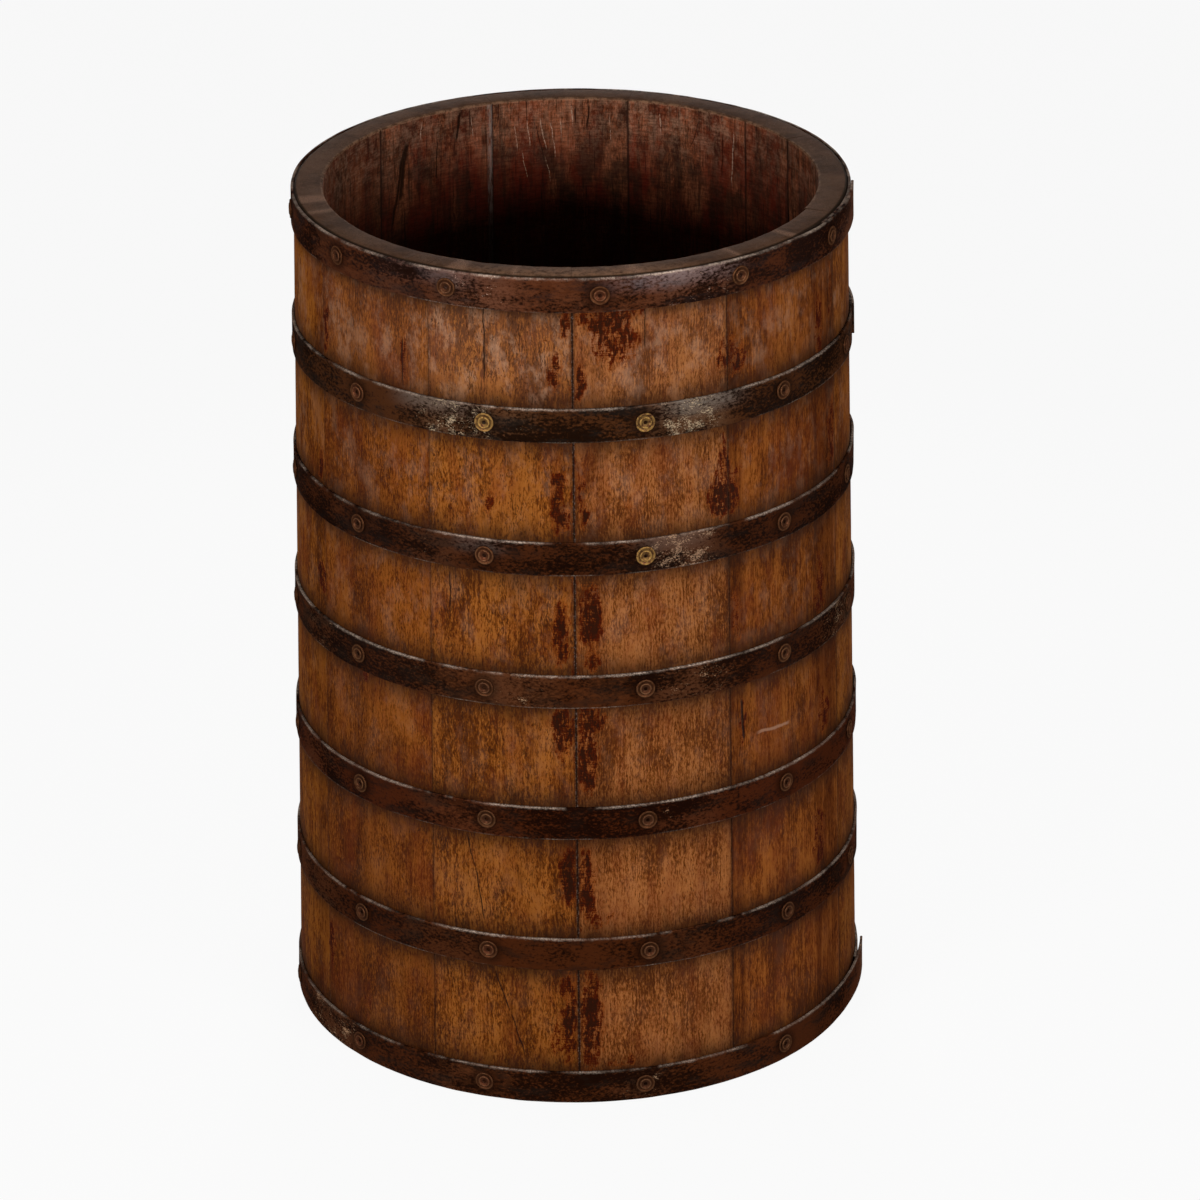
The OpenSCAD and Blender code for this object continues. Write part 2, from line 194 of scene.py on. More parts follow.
# Linear colours of small marks.
OPEN_GAP, INSIDE_GAP = (0.006, 0.003, 0.002), (0.006, 0.002, 0.001)
INSIDE_JOINT, STREAK_TINT = (0.008, 0.004, 0.003), (0.5, 0.42, 0.36)
BARE_SCRATCH, PALE_SCRATCH = (0.34, 0.19, 0.12), (0.30, 0.19, 0.13)
PALE_FLECK, RIM_FLECK, PALE_TICK = (0.42, 0.32, 0.24), (0.42, 0.28, 0.20), (0.28, 0.17, 0.12)
BLOTCH, DARK_THREAD, SAW_CUT = (0.020, 0.007, 0.004), (0.016, 0.005, 0.003), (0.008, 0.003, 0.002)
# The first of these three darkens the inside's pores, and it is also the painted shade deeper
# inside.
DAMP_AND_DEPTH_SHADE, HEAD_PORE, SOIL = (0.012, 0.004, 0.002), (0.01, 0.005, 0.003), (0.035, 0.024, 0.016)
# The first of these three is a painted shadow along the rim's outer edge where the hoop meets it.
# The last is painted shade in the hollows of the nails and washers.
HOOP_EDGE_SHADOW, SOOT, NAIL_HOLLOW_SHADE = (0.008, 0.005, 0.003), (0.008, 0.006, 0.005), (0.010, 0.005, 0.003)
# Tint of the gloss on each substance.
WOOD_GLOSS, IRON_GLOSS, BRASS_GLOSS = (1.0, 0.6, 0.3), (0.35, 0.26, 0.2), (0.4, 0.32, 0.26)

# ---- The studio: lamps round the barrel, and the camera fitted to the photograph --------------
# Metres and degrees.

FLOOR_HALF = 30.0
# How much of its own glow the camera sees in the floor.
FLOOR_GLOW = 0.93
LAMP_FAR, LAMP_HIGH, TOP_LAMP_HIGH, LAMP_AIM = 1.55, 0.86, 4.0, 0.42
LAMP_SIZE, LAMP_SPREAD = (0.5, 0.26), 100
KEY_AT, FILL_AT, BACK_AT = -33, 35, 180
CAMERA_FAR, CAMERA_ABOVE, CAMERA_AIM = 3.887, 23.83, 0.3193
CAMERA_ROLL, CAMERA_SHIFT = -0.58, (0.0213, -0.028)


def linear(code):
    """Linear colour of a six-figure sRGB code."""
    parts = [int(code[i:i + 2], 16) / 255 for i in (0, 2, 4)]
    return tuple(p / 12.92 if p <= 0.04045 else ((p + 0.055) / 1.055) ** 2.4 for p in parts)


def length(name, description, default):
    """A size in metres."""
    return FloatProperty(name=name, description=description, default=default, min=0.0, max=1.0,
                         precision=4, unit="LENGTH", subtype="DISTANCE")


def power(name, description, default):
    """A lamp's power in watts."""
    return FloatProperty(name=name, description=description, default=default, min=0.0, unit="POWER")


def colour(name, description, code):
    """A colour, given by its sRGB code."""
    return FloatVectorProperty(name=name, description=description, default=linear(code),
                               min=0.0, max=1.0, size=3, subtype="COLOR")


class BarrelSizes(PropertyGroup):
    height: length("Height", "From the floor to the rim", cad_box[1].z)
    rim_radius: length("Rim radius", "Over the wood at the rim", RIM_RADIUS)
    foot_radius: length("Foot radius", "Over the wood at the foot", 202 * MM)
    stave_thickness: length("Stave thickness", "Thickness of a stave", 20 * MM)
    rim_bevel: length("Rim bevel", "Worn bevel round the outside of the rim", 2.4 * MM)
    end_ease: length("End easing", "Easing of the other stave ends", 1.2 * MM)
    seam_ease: length("Joint easing", "Rounding of a stave's long corners", 0.55 * MM)
    hand_work: length("Hand work", "Unevenness that the cooper's shave left", 0.3 * MM)
    strap_width: length("Hoop width", "Width of the iron strap", 24 * MM)
    strap_thickness: length("Hoop thickness", "Thickness of the iron strap", 1.8 * MM)
    strap_ease: length("Hoop edge", "Rounding of the strap's long edges", 0.5 * MM)
    dents: length("Dents", "Depth of the hammer's dents in the hoops", 0.25 * MM)
    washer_width: length("Washer width", "Diameter of a washer", 13.6 * MM)
    washer_height: length("Washer height", "Thickness of a washer at its rim", 1.1 * MM)
    nail_head: length("Nail head", "Diameter of a nail's hollow head", 8.6 * MM)
    nail_height: length("Nail height", "Height of the head over the strap", 1.7 * MM)


class BarrelFinish(PropertyGroup):
    wood_light: colour("Light wood", "Light bands of the outside", "8c5628")
    wood_mid: colour("Wood", "Body colour of the outside", "6c3b15")
    wood_dark: colour("Dark wood", "Dark grain of the outside", "431f08")
    wood_red: colour("Red wood", "Redder clouds of the outside", "5c2410")
    # Dry wood, and also a painted sheen on the upper outside.
    wood_dry_and_sheen: colour("Dry wood", "Paler, drier wood of the upper outside", "a47e64")
    stain_thin: colour("Thin stain", "Orange of a stain's thin edges", "7e3e14")
    stain_thick: colour("Thick stain", "Tint of the thicker parts of a stain", "8e542e")
    stain_core: colour("Stain core", "Thickest places of the stain", "1a0904")
    pore: colour("Pores", "Open pores of the wood", "281005")
    grime: colour("Grime", "Grime on the wood beside the hoops", "200f07")
    filler: colour("Filler", "Grey filler along the joints", "7e7068")
    inside: colour("Inside", "Body colour of the inside", "6c3c26")
    inside_red: colour("Inside red", "Redder places of the inside", "4c140a")
    inside_dust: colour("Inside dust", "Dry wood at the top of the inside", "8c6852")
    rim: colour("Rim", "End grain of the rim", "4a3224")
    # Rubbed corners of the rim, and also the painted light on the rim's front.
    rim_worn_and_lit: colour("Worn rim", "Corners of the rim that hands have rubbed", "84624a")
    rim_mark: colour("Rim marks", "Pale marks on the rim", "b58a70")
    iron: colour("Iron", "Body colour of the hoops", "381e0e")
    iron_dark: colour("Dark iron", "Dark mottle of the hoops", "120703")
    # Worn iron, and also the colour of painted highlights on the hoops.
    iron_worn_and_glint: colour("Worn iron", "Speckled worn patches of the hoops", "a08c74")
    iron_rust: colour("Rust", "Brown rust on the hoops", "54341f")
    # A painted reflection on the hoops.
    iron_painted_sheen: colour("Sheen", "Smooth cool sheen on the hoops", "5a5754")
    # Dust along the hoops' edges, and also a painted glint.
    iron_dust_and_glint: colour("Edge dust", "Dust along the edges of the hoops", "988678")
    brass: colour("Brass", "Tarnished washers and nails", "3a2015")
    # Rubbed crests, and also a painted highlight on them.
    brass_crest_wear_and_highlight: colour("Worn brass", "Rubbed crests of the tarnished brass", "6a4a34")
    brass_bright: colour("Bright brass", "Washers and nails that stayed bright", "8c6c3a")
    copper: colour("Copper", "Washers and nails of redder metal", "50281a")
    floor: colour("Floor", "Pale studio floor", "b4b3b1")


class StudioSetup(PropertyGroup):
    key: power("Key light", "Power of the light left of the camera", 5.8)
    fill: power("Fill light", "Power of the light right of the camera", 5.25)
    back: power("Back light", "Power of the light behind the barrel", 5.0)
    above: power("Top light", "Power of the light over the barrel", 7.0)
    surround: FloatProperty(name="Surround", description="Strength of the dim light from all round",
                            default=0.06, min=0.0, max=1.0, subtype="FACTOR")
    lens: FloatProperty(name="Lens", description="Focal length of the camera, in millimetres",
                        default=165.0, min=20.0, max=400.0)


# ---- Small helpers for shapes ---------------------------------------------------------------

def smooth(low, high, value):
    """Smooth step from 0 at low to 1 at high."""
    t = min(1.0, max(0.0, (value - low) / (high - low)))
    return t * t * (3 - 2 * t)


def wood_radius(sizes, height):
    """Radius over the staves at a height."""
    return sizes.foot_radius - (sizes.foot_radius - sizes.rim_radius) * height / sizes.height


def polar(radius, azimuth, height):
    """Point at an azimuth in degrees."""
    a = math.radians(azimuth)
    return Vector((radius * math.sin(a), -radius * math.cos(a), height))


def ripple(point, scale, seed=0.0):
    """Even noise from about -1 to 1, the same at each run."""
    return noise.noise(Vector(point) * scale + Vector((seed * 7.31, seed * 3.17, seed * 1.93)))


def turn_apart(azimuth, other):
    """Signed angle between two azimuths, from -180 to 180."""
    return (azimuth - other + 180) % 360 - 180


def patch(offset_x, offset_y, half_x, half_y):
    """1 in the middle of a patch, 0 past its edge."""
    return 1 - smooth(0.45, 1.45, math.hypot(offset_x / half_x, offset_y / half_y))


def strongest(azimuth, marks):
    """The strongest of some marks at an azimuth: azimuth, half width and strength of each."""
    return max((s * patch(turn_apart(azimuth, at), 0, w, 1) for at, w, s in marks), default=0.0)


def new_layers(bm, *names):
    """Layers that hold a number for each corner."""
    return {name: bm.verts.layers.float.new(name) for name in names}


def ease_edges(bm, edges, width, segments=2):
    """Rounds some edges."""
    bmesh.ops.bevel(bm, geom=edges, offset=width, segments=segments, affect="EDGES",
                    profile=0.5, material=-1)


def spin_round(bm, verts, edges, steps):
    """Turns a profile once round the upright axis."""
    bmesh.ops.spin(bm, geom=verts + edges, cent=(0, 0, 0), axis=(0, 0, 1),
                   angle=2 * math.pi, steps=steps, use_merge=True)


def cut_across(bm, axis, longest, cuts):
    """Cuts the edges that run along an axis for more than a length. Tells if it found any."""
    edges = [e for e in bm.edges if abs(e.verts[0].co[axis] - e.verts[1].co[axis]) > longest]
    if edges:
        bmesh.ops.subdivide_edges(bm, edges=edges, cuts=cuts, use_grid_fill=True)
    return bool(edges)


def hoop_reach(i):
    """Degrees over which a strap's outer end climbs and laps."""
    return CLIMB_SPAN[i] + LAP_SPAN[i]


def stand_off(sizes, i, along):
    """How far a strap stands off the wood, along degrees past its inner end."""
    climb_from = 360 - CLIMB_SPAN[i]
    if i == len(HOOPS) - 1:
        share_risen = max(0.0, (along - climb_from) / hoop_reach(i))
        return LOOSE_GAP * MM * share_risen ** 1.35
    lift = sizes.strap_thickness + LAP_GAP * MM
    return lift * smooth(climb_from - 2, 360.5, along)


def along_strap(i, azimuth):
    """Degrees from a strap's inner end to the outer layer at an azimuth."""
    inner_end = LAP_AT[i] - LAP_WAY[i] * LAP_SPAN[i]
    turned = ((azimuth - inner_end) * LAP_WAY[i]) % 360
    return turned + 360 if turned < LAP_SPAN[i] else turned


def nails_of(i):
    """Number and azimuth of a hoop's nails. The foot hoop's loose end has lost its nail."""
    row = RIM_NAILS if i == 0 else BAND_NAILS
    placed = [(number, azimuth + NAIL_TURN[i]) for number, azimuth in enumerate(row)]
    if i < len(HOOPS) - 1:
        return placed
    start = LAP_AT[i] - hoop_reach(i)
    return [(number, a) for number, a in placed if (a - start) % 360 > hoop_reach(i)]


def finish_piece(bm, materials, node, smooth_angle=35):
    """Turns a bmesh into the piece that stands for a CAD node."""
    name = f"finished_{node}"
    bmesh.ops.remove_doubles(bm, verts=bm.verts, dist=SAME_PLACE)
    bmesh.ops.dissolve_degenerate(bm, edges=bm.edges, dist=SAME_PLACE)
    bmesh.ops.recalc_face_normals(bm, faces=bm.faces)
    if bm.calc_volume(signed=True) < 0:
        bmesh.ops.reverse_faces(bm, faces=bm.faces)
    mesh = bpy.data.meshes.new(name)
    for face in bm.faces:
        face.smooth = True
    for edge in bm.edges:
        if edge.is_manifold and edge.calc_face_angle(0) > math.radians(smooth_angle):
            edge.smooth = False
    bm.to_mesh(mesh)
    bm.free()
    for material in materials:
        mesh.materials.append(material)
    piece = bpy.data.objects.new(name, mesh)
    bpy.context.scene.collection.objects.link(piece)
    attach(piece, "root")
    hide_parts(node)
    return piece


# ---- Staves ---------------------------------------------------------------------------------

def stave_profile(sizes):
    """Corners of a stave's section: depth from its outer face, and height."""
    h, t, bevel, ease = sizes.height, sizes.stave_thickness, sizes.rim_bevel, sizes.end_ease
    croze_mid = (HEAD_Z + HEAD_T / 2) * MM
    croze_lo, croze_hi = croze_mid - CROZE_W / 2 * MM, croze_mid + CROZE_W / 2 * MM
    deep = t - CROZE_DEPTH * MM
    return (
        (t - ease, 0), (ease, 0), (0, ease), (0, h - bevel),
        (bevel * 0.12, h - bevel * 0.62), (bevel * 0.45, h - bevel * 0.22), (bevel, h),
        (t - ease, h), (t - ease * 0.3, h - ease * 0.3), (t, h - ease),
        (t, croze_hi), (deep, croze_hi), (deep, croze_lo), (t, croze_lo), (t, ease),
    )


def board_shape(sizes, width):
    """A straight stave: x runs across it, y is depth from the outer face, z is height."""
    bm = bmesh.new()
    corners = [bm.verts.new((0, depth, height)) for depth, height in stave_profile(sizes)]
    end = bm.faces.new(corners)
    pushed = bmesh.ops.extrude_face_region(bm, geom=[end])["geom"]
    bmesh.ops.translate(bm, verts=[v for v in pushed if isinstance(v, bmesh.types.BMVert)],
                        vec=(width, 0, 0))
    long_corners = [e for e in bm.edges if e.calc_length() > 0.5 * sizes.height
                    and max(v.co.y for v in e.verts) < MM]
    ease_edges(bm, long_corners, sizes.seam_ease)
    cut_across(bm, X, 0.5 * width, round(width / STAVE_GRID[0]))
    cut_across(bm, Z, STAVE_GRID[1], 3)
    while cut_across(bm, Z, STAVE_GRID[1], 1):
        pass
    return bm


def hoop_shade(height_mm):
    """How grimy the wood is at a height: 1 at a strap's edge, near 0 some 20 mm off."""
    shade = 0.0
    for i, mid in enumerate(HOOP_MID):
        apart = max(0.0, abs(height_mm - mid) - HALF_STRAP / MM)
        reach = GRIME_REACH[0] if i == 0 else GRIME_REACH[1]
        shade = max(shade, math.exp(-(apart / reach) ** 1.5))
    return shade


def stain_places():
    """The stains that the front shows, and more at the back's joints, drawn with one seed."""
    draw = random.Random(STAIN_SEED)
    places = list(STAINS)
    bands = [(a + b) / 2 for a, b in zip(HOOP_MID, HOOP_MID[1:])]
    joint = 0.0
    for span in STAVE_SPAN:
        joint += span
        for band in bands:
            chance, side, drop = draw.random(), draw.choice((-1.6, 1.4)), draw.uniform(-24, 24)
            size = draw.uniform(3, 8)
            if BACK_STAINS[0] < joint < BACK_STAINS[1] and chance < 0.5:
                places.append((joint + side, band + drop, size, draw.uniform(7, 22), 1.0))
    return places


def stave_layers(bm, number, start, width, places):
    """Layers of each stave corner: place on the barrel, and how stained and grimy it is."""
    layers = new_layers(bm, "arc", "seam", "line", "stain", "streak", "grime", "lip", "filler",
                        "mark")
    middle = width / 2
    lines = (JOINT_LINE[number], JOINT_LINE[(number + 1) % len(STAVE_SPAN)])
    for v in bm.verts:
        azimuth = start + math.degrees(v.co.x / ARC_RADIUS)
        height = v.co.z / MM
        v[layers["arc"]] = math.radians(start) * ARC_RADIUS + v.co.x
        v[layers["seam"]] = middle - abs(v.co.x - middle)
        v[layers["line"]] = lines[0] if v.co.x < middle else lines[1]
        here = (azimuth * 3.4, height, 0)
        sideways = 4 * ripple(here, 0.07) + 2 * ripple(here, 0.2, 1)
        upwards = 9 * ripple(here, 0.06, 2) + 4 * ripple(here, 0.2, 3)
        amount = 0.0
        for at, z, half_w, half_h, strength in places:
            apart = math.radians(turn_apart(azimuth, at)) * ARC_RADIUS / MM + sideways
            off = height - z + upwards
            if abs(apart) < 2 * half_w and abs(off) < 2 * half_h:
                amount = max(amount, strength * patch(apart, off, half_w, half_h))
        v[layers["stain"]] = amount
        v[layers["streak"]] = strongest(azimuth, DARK_STREAKS)
        v[layers["grime"]] = hoop_shade(height)
        at_front = abs(turn_apart(azimuth, 0)) < 3
        v[layers["filler"]] = FRONT_FILLER if at_front else OTHER_FILLER
        v[layers["lip"]] = smooth(RIM_Z - 2.6, RIM_Z, height)
        v[layers["mark"]] = max(1 - smooth(0.4 * w, w, abs(turn_apart(azimuth, at)))
                                for at, w in RIM_MARKS)


def bend_stave(bm, sizes, start, index):
    """Wraps a straight stave round the barrel, with the unevenness of hand work."""
    t = sizes.stave_thickness
    draw = random.Random(200 + index)
    inner_shift = draw.uniform(-0.6, 0.5) * MM
    for v in bm.verts:
        azimuth = start + math.degrees(v.co.x / ARC_RADIUS)
        depth, height = v.co.y, v.co.z
        point = polar(RIM_RADIUS, azimuth, height)
        outer = 1 - smooth(0.2 * t, 0.5 * t, depth)
        uneven = ripple(point, 16, index) * 0.55 + ripple(point, 48, index) * 0.3
        uneven += ripple((azimuth, index, height * 3), 0.7) * 0.3
        inward = outer * sizes.hand_work * (0.5 + 0.5 * uneven)
        inner = smooth(0.5 * t, 0.8 * t, depth)
        sawn = ripple(point, 22, index + 30) * 0.7 + ripple(point, 75, index + 60) * 0.3
        inward += inner * (inner_shift + 0.7 * MM * sawn)
        top = smooth(sizes.height - 3 * MM, sizes.height, height)
        chip = max(0.0, ripple(point, 130, index + 5)) * 0.5 * MM * top
        if depth < sizes.rim_bevel:
            inward += chip * 0.8
        drop = chip * (1 if depth < 0.9 * sizes.rim_bevel or depth > 0.92 * t else 0.1)
        v.co = polar(wood_radius(sizes, height) - depth - inward, azimuth, height - drop)


def sort_stave_faces(bm):
    """Material of each face of a straight stave: 0 outside, 1 inside and joints, 2 end grain."""
    for face in bm.faces:
        face.normal_update()
        middle = face.calc_center_median()
        level = abs(face.normal.z) > 0.25
        if level and not CROZE_BAND[0] < middle.z < CROZE_BAND[1]:
            face.material_index = 2
        else:
            face.material_index = 0 if middle.y < 1.2 * MM else 1


# ---- Head -----------------------------------------------------------------------------------

def head_shape(sizes, board):
    """One board of the head: a bevelled disc, cut at the joints between boards and eased."""
    low, high = HEAD_Z * MM, (HEAD_Z + HEAD_T) * MM
    mid = (low + high) / 2
    edge_r = wood_radius(sizes, mid) - sizes.stave_thickness + (CROZE_DEPTH - HEAD_PLAY) * MM
    face_r = edge_r - HEAD_BEVEL * MM
    croze = CROZE_W / 2 * MM
    corners = (
        (face_r, low), (edge_r - CROZE_DEPTH * MM, mid - croze), (edge_r, mid - croze),
        (edge_r, mid + croze), (edge_r - CROZE_DEPTH * MM, mid + croze), (face_r, high),
    )
    bm = bmesh.new()
    verts = [bm.verts.new((r, 0, z)) for r, z in corners]
    edges = [bm.edges.new(pair) for pair in zip(verts, verts[1:])]
    spin_round(bm, verts, edges, HEAD_STEPS)
    bmesh.ops.remove_doubles(bm, verts=bm.verts, dist=SAME_PLACE)
    bmesh.ops.holes_fill(bm, edges=bm.edges, sides=0)
    # Turned half a step, so that no cut goes through a corner of the disc.
    half_step = Matrix.Rotation(math.pi / HEAD_STEPS, 3, "Z")
    bmesh.ops.rotate(bm, verts=bm.verts, cent=(0, 0, 0), matrix=half_step)
    span = 2 * sizes.foot_radius
    left, right = (span * (board + k) / HEAD_BOARDS - span / 2 for k in (0, 1))
    for x, way in ((left, -1), (right, 1)):
        if abs(x) < edge_r:
            cut = bmesh.ops.bisect_plane(bm, geom=bm.verts[:] + bm.edges[:] + bm.faces[:],
                                         plane_co=(x, 0, 0), plane_no=(way, 0, 0),
                                         clear_outer=True)
            rim = [e for e in cut["geom_cut"] if isinstance(e, bmesh.types.BMEdge)]
            filled = bmesh.ops.holes_fill(bm, edges=rim, sides=0)["faces"]
            long_edges = {e for f in filled for e in f.edges
                          if all(min(v.co.z - low, high - v.co.z) < SAME_PLACE for v in e.verts)}
            ease_edges(bm, list(long_edges), HEAD_EASE)
    return bm


# ---- Hoops ----------------------------------------------------------------------------------

def strap_shape(sizes, i):
    """A straight strap: x runs along it, y outwards from the wood, z is height."""
    girth = math.radians(360 + LAP_SPAN[i]) * wood_radius(sizes, HOOP_MID[i] * MM)
    bm = bmesh.new()
    bmesh.ops.create_cube(bm, size=1.0)
    bmesh.ops.scale(bm, verts=bm.verts, vec=(girth, sizes.strap_thickness, sizes.strap_width))
    bmesh.ops.translate(bm, verts=bm.verts,
                        vec=(girth / 2, sizes.strap_thickness / 2, HOOP_MID[i] * MM))
    ease_edges(bm, bm.edges[:], sizes.strap_ease, 3)
    cut_across(bm, Z, 0.5 * sizes.strap_width, STRAP_ROWS)
    cut_across(bm, X, 0.5 * girth, round(girth / STRAP_GRID))
    return bm, girth


def wrap_strap(bm, sizes, i, girth):
    """Wraps a strap round the barrel and over its own inner end."""
    layers = new_layers(bm, "run", "across", "wear_and_glint", "rust", "sheen", "halo")
    mid = HOOP_MID[i] * MM
    half = sizes.strap_width / 2
    inner_end = LAP_AT[i] - LAP_WAY[i] * LAP_SPAN[i]
    turn = 360 + LAP_SPAN[i]
    draw = random.Random(500 + i)
    wear_and_glint, rust, sheen = ([mark[1:] for mark in table if mark[0] == i]
                         for table in (WORN_AND_GLINT_IRON, RUST, PAINTED_SHEEN))
    wear_and_glint += [(draw.uniform(60, 300), draw.uniform(4, 12), draw.uniform(0.4, 1.0))
             for _ in range(6)]
    for v in bm.verts:
        along = v.co.x / girth * turn
        azimuth = inner_end + LAP_WAY[i] * along
        across = (v.co.z - mid) / half
        point = polar(RIM_RADIUS, azimuth, v.co.z)
        v[layers["run"]] = v.co.x
        v[layers["across"]] = across
        v[layers["wear_and_glint"]] = strongest(azimuth, wear_and_glint)
        v[layers["rust"]] = strongest(azimuth, rust)
        # Where the painted sheen goes: the upper half of the strap.
        v[layers["sheen"]] = smooth(-0.3, 0.7, across) * strongest(azimuth, sheen)
        off_nail = min(math.hypot(math.radians(turn_apart(azimuth, at)) * RIM_RADIUS,
                                  across * HALF_STRAP) for _, at in nails_of(i))
        v[layers["halo"]] = 1 - smooth(7, 13, off_nail / MM)
        loose = 0.5 + 0.5 * ripple((azimuth, i, 0), 0.045)
        flare = max(0.0, across) ** 2 * 0.45 * MM * smooth(0.35, 0.8, loose)
        dent = min(0.0, ripple(point, 55, i) - 0.12) * sizes.dents
        lift = stand_off(sizes, i, along) + flare
        radius = wood_radius(sizes, v.co.z) + v.co.y + lift + dent
        wander = (ripple((azimuth, i, 9), 0.03) * 0.35 + ripple((azimuth, i, 4), 0.35) * 0.15) * MM
        v.co = polar(radius, azimuth, max(0.05 * MM, v.co.z + wander))


# ---- Washers and nails ----------------------------------------------------------------------

def washer_profile(sizes):
    """Section of a cupped washer: flat below, a rounded rim above, a seat for the nail."""
    r, t, bore, seat = sizes.washer_width / 2, sizes.washer_height, 2.02 * MM, 4.6 * MM
    return (
        (bore, 0), (r - 0.3 * MM, 0), (r, t * 0.35), (r - 0.15 * MM, t * 0.75),
        (r - 0.5 * MM, t), (r - 0.95 * MM, t * 0.97), (r - 1.4 * MM, t * 0.75),
        (r - 1.9 * MM, t * 0.48), (seat, t * 0.46), (seat - 0.4 * MM, t * 0.55), (bore, t * 0.55),
    )


def nail_profile(sizes):
    """Section of a nail: a rolled lip about a cup with a hole down it, a shank and a point."""
    rest, shank = sizes.washer_height * 0.55, 2 * MM
    r, top = sizes.nail_head / 2, sizes.nail_height
    return (
        (0, -18 * MM), (shank, -14 * MM), (shank, rest), (r - 0.3 * MM, rest),
        (r, rest + 0.35 * MM), (r - 0.05 * MM, top - 0.4 * MM), (r - 0.3 * MM, top - 0.1 * MM),
        (r - 0.65 * MM, top), (r - 1.0 * MM, top - 0.08 * MM), (r - 1.4 * MM, top - 0.4 * MM),
        (r - 1.75 * MM, rest + 0.35 * MM), (1.5 * MM, rest + 0.22 * MM), (1.2 * MM, rest),
        (1.15 * MM, -2.4 * MM), (0, -3 * MM),
    )


def turned_set(sizes, i, profile, closed, steps, squash):
    """A hoop's washers or nails: one profile turned about each nail's own axis."""
    bm = bmesh.new()
    layers = new_layers(bm, "shine", "copper", "knock", "rise")
    top = max(z for _, z in profile)
    lean = math.atan((sizes.foot_radius - sizes.rim_radius) / sizes.height)
    for number, azimuth in nails_of(i):
        draw = random.Random(f"{i} {number}")
        old = set(bm.verts)
        verts = [bm.verts.new((r, 0, z)) for r, z in profile]
        pairs = list(zip(verts, verts[1:])) + ([(verts[-1], verts[0])] if closed else [])
        edges = [bm.edges.new(pair) for pair in pairs]
        spin_round(bm, verts, edges, steps)
        made = [v for v in bm.verts if v not in old]
        bmesh.ops.remove_doubles(bm, verts=made, dist=0.01 * MM)
        made = [v for v in bm.verts if v not in old]
        knock, oval, turned = draw.random(), draw.uniform(0, squash), draw.uniform(0, math.pi)
        shine = 1.0 if (i, number) in BRIGHT_NAILS else draw.uniform(0.0, 0.15)
        copper = 1.0 if (i, number) in COPPER_NAILS else draw.uniform(0.0, 0.3)
        for v in made:
            v[layers["shine"]], v[layers["copper"]], v[layers["knock"]] = shine, copper, knock
            v[layers["rise"]] = v.co.z / top
            reach = math.hypot(v.co.x, v.co.y)
            swing = math.cos(2 * (math.atan2(v.co.y, v.co.x) - turned))
            v.co.x *= 1 - oval * (0.5 + 0.5 * swing)
            v.co.y *= 1 - oval * (0.5 + 0.5 * swing)
            if v.co.z > 0.3 * MM and reach > 2.2 * MM:
                v.co.z -= (0.5 + 0.5 * ripple(v.co, 420, knock * 50)) * 0.16 * MM
        seat = wood_radius(sizes, HOOP_MID[i] * MM) + sizes.strap_thickness
        seat += stand_off(sizes, i, along_strap(i, azimuth)) - 0.08 * MM
        place = (Matrix.Rotation(math.radians(azimuth - 90), 4, "Z")
                 @ Matrix.Translation((seat, 0, HOOP_MID[i] * MM))
                 @ Matrix.Rotation(math.pi / 2 - lean, 4, "Y"))
        bmesh.ops.transform(bm, matrix=place, verts=made)
    return bm


# ---- Wiring of the materials ----------------------------------------------------------------

class Wiring:
    """Adds nodes to one node tree and joins them."""

    def __init__(self, tree):
        self.tree = tree

    def join(self, socket, value):
        if isinstance(value, bpy.types.NodeSocket):
            self.tree.links.new(value, socket)
        elif value is not None:
            if socket.type == "RGBA" and len(value) == 3:
                value = (*value, 1.0)
            socket.default_value = value

    def add(self, kind, *values, **settings):
        node = self.tree.nodes.new(kind)
        for name, value in settings.items():
            setattr(node, name, value)
        for socket, value in zip(node.inputs, values):
            self.join(socket, value)
        return node

    def math(self, operation, *values, clamp=False):
        return self.add("ShaderNodeMath", *values, operation=operation, use_clamp=clamp).outputs[0]

    def times(self, value, factor):
        return self.math("MULTIPLY", value, factor)

    def inverse(self, value):
        return self.math("SUBTRACT", 1.0, value)

    def plus(self, start, *parts):
        """start and each part times its weight, added up."""
        for part, weight in parts:
            start = self.math("MULTIPLY_ADD", part, weight, start)
        return start

    def sway(self, value, weight, start=None):
        """How far a value is off its middle, 0.5, times a weight, on top of start."""
        off = self.math("SUBTRACT", value, 0.5)
        return self.times(off, weight) if start is None else self.plus(start, (off, weight))

    def scaled(self, where, x, y, z):
        return self.add("ShaderNodeVectorMath", where, (x, y, z), operation="MULTIPLY").outputs[0]

    def ramp(self, value, low, high, at_low=0.0, at_high=1.0):
        return self.add("ShaderNodeMapRange", value, low, high, at_low, at_high,
                        interpolation_type="SMOOTHSTEP").outputs[0]

    def fade(self, value, low, high, fall=1.0):
        """1 up to low, and less by the fall from high on."""
        return self.inverse(self.ramp(value, low, high, 0.0, fall))

    def noise(self, where, scale=1.0, detail=2.0, roughness=0.5, distortion=0.0):
        node = self.tree.nodes.new("ShaderNodeTexNoise")
        for name, value in (("Vector", where), ("Scale", scale), ("Detail", detail),
                            ("Roughness", roughness), ("Distortion", distortion)):
            self.join(node.inputs[name], value)
        return node.outputs[0]

    def grain(self, where, across, up, detail=2.0, roughness=0.5):
        """Noise with one scale across the wood and another up it."""
        return self.noise(self.scaled(where, across, across, up), 1.0, detail, roughness)

    def mix(self, amount, below, above, way="MIX"):
        node = self.add("ShaderNodeMix", data_type="RGBA", blend_type=way)
        for place, value in ((0, amount), (6, below), (7, above)):
            self.join(node.inputs[place], value)
        return node.outputs[2]

    def layer(self, name):
        return self.add("ShaderNodeAttribute", attribute_name=name).outputs["Fac"]

    def group(self, name, *values):
        return self.add("ShaderNodeGroup", *values, node_tree=shared_group(name)).outputs


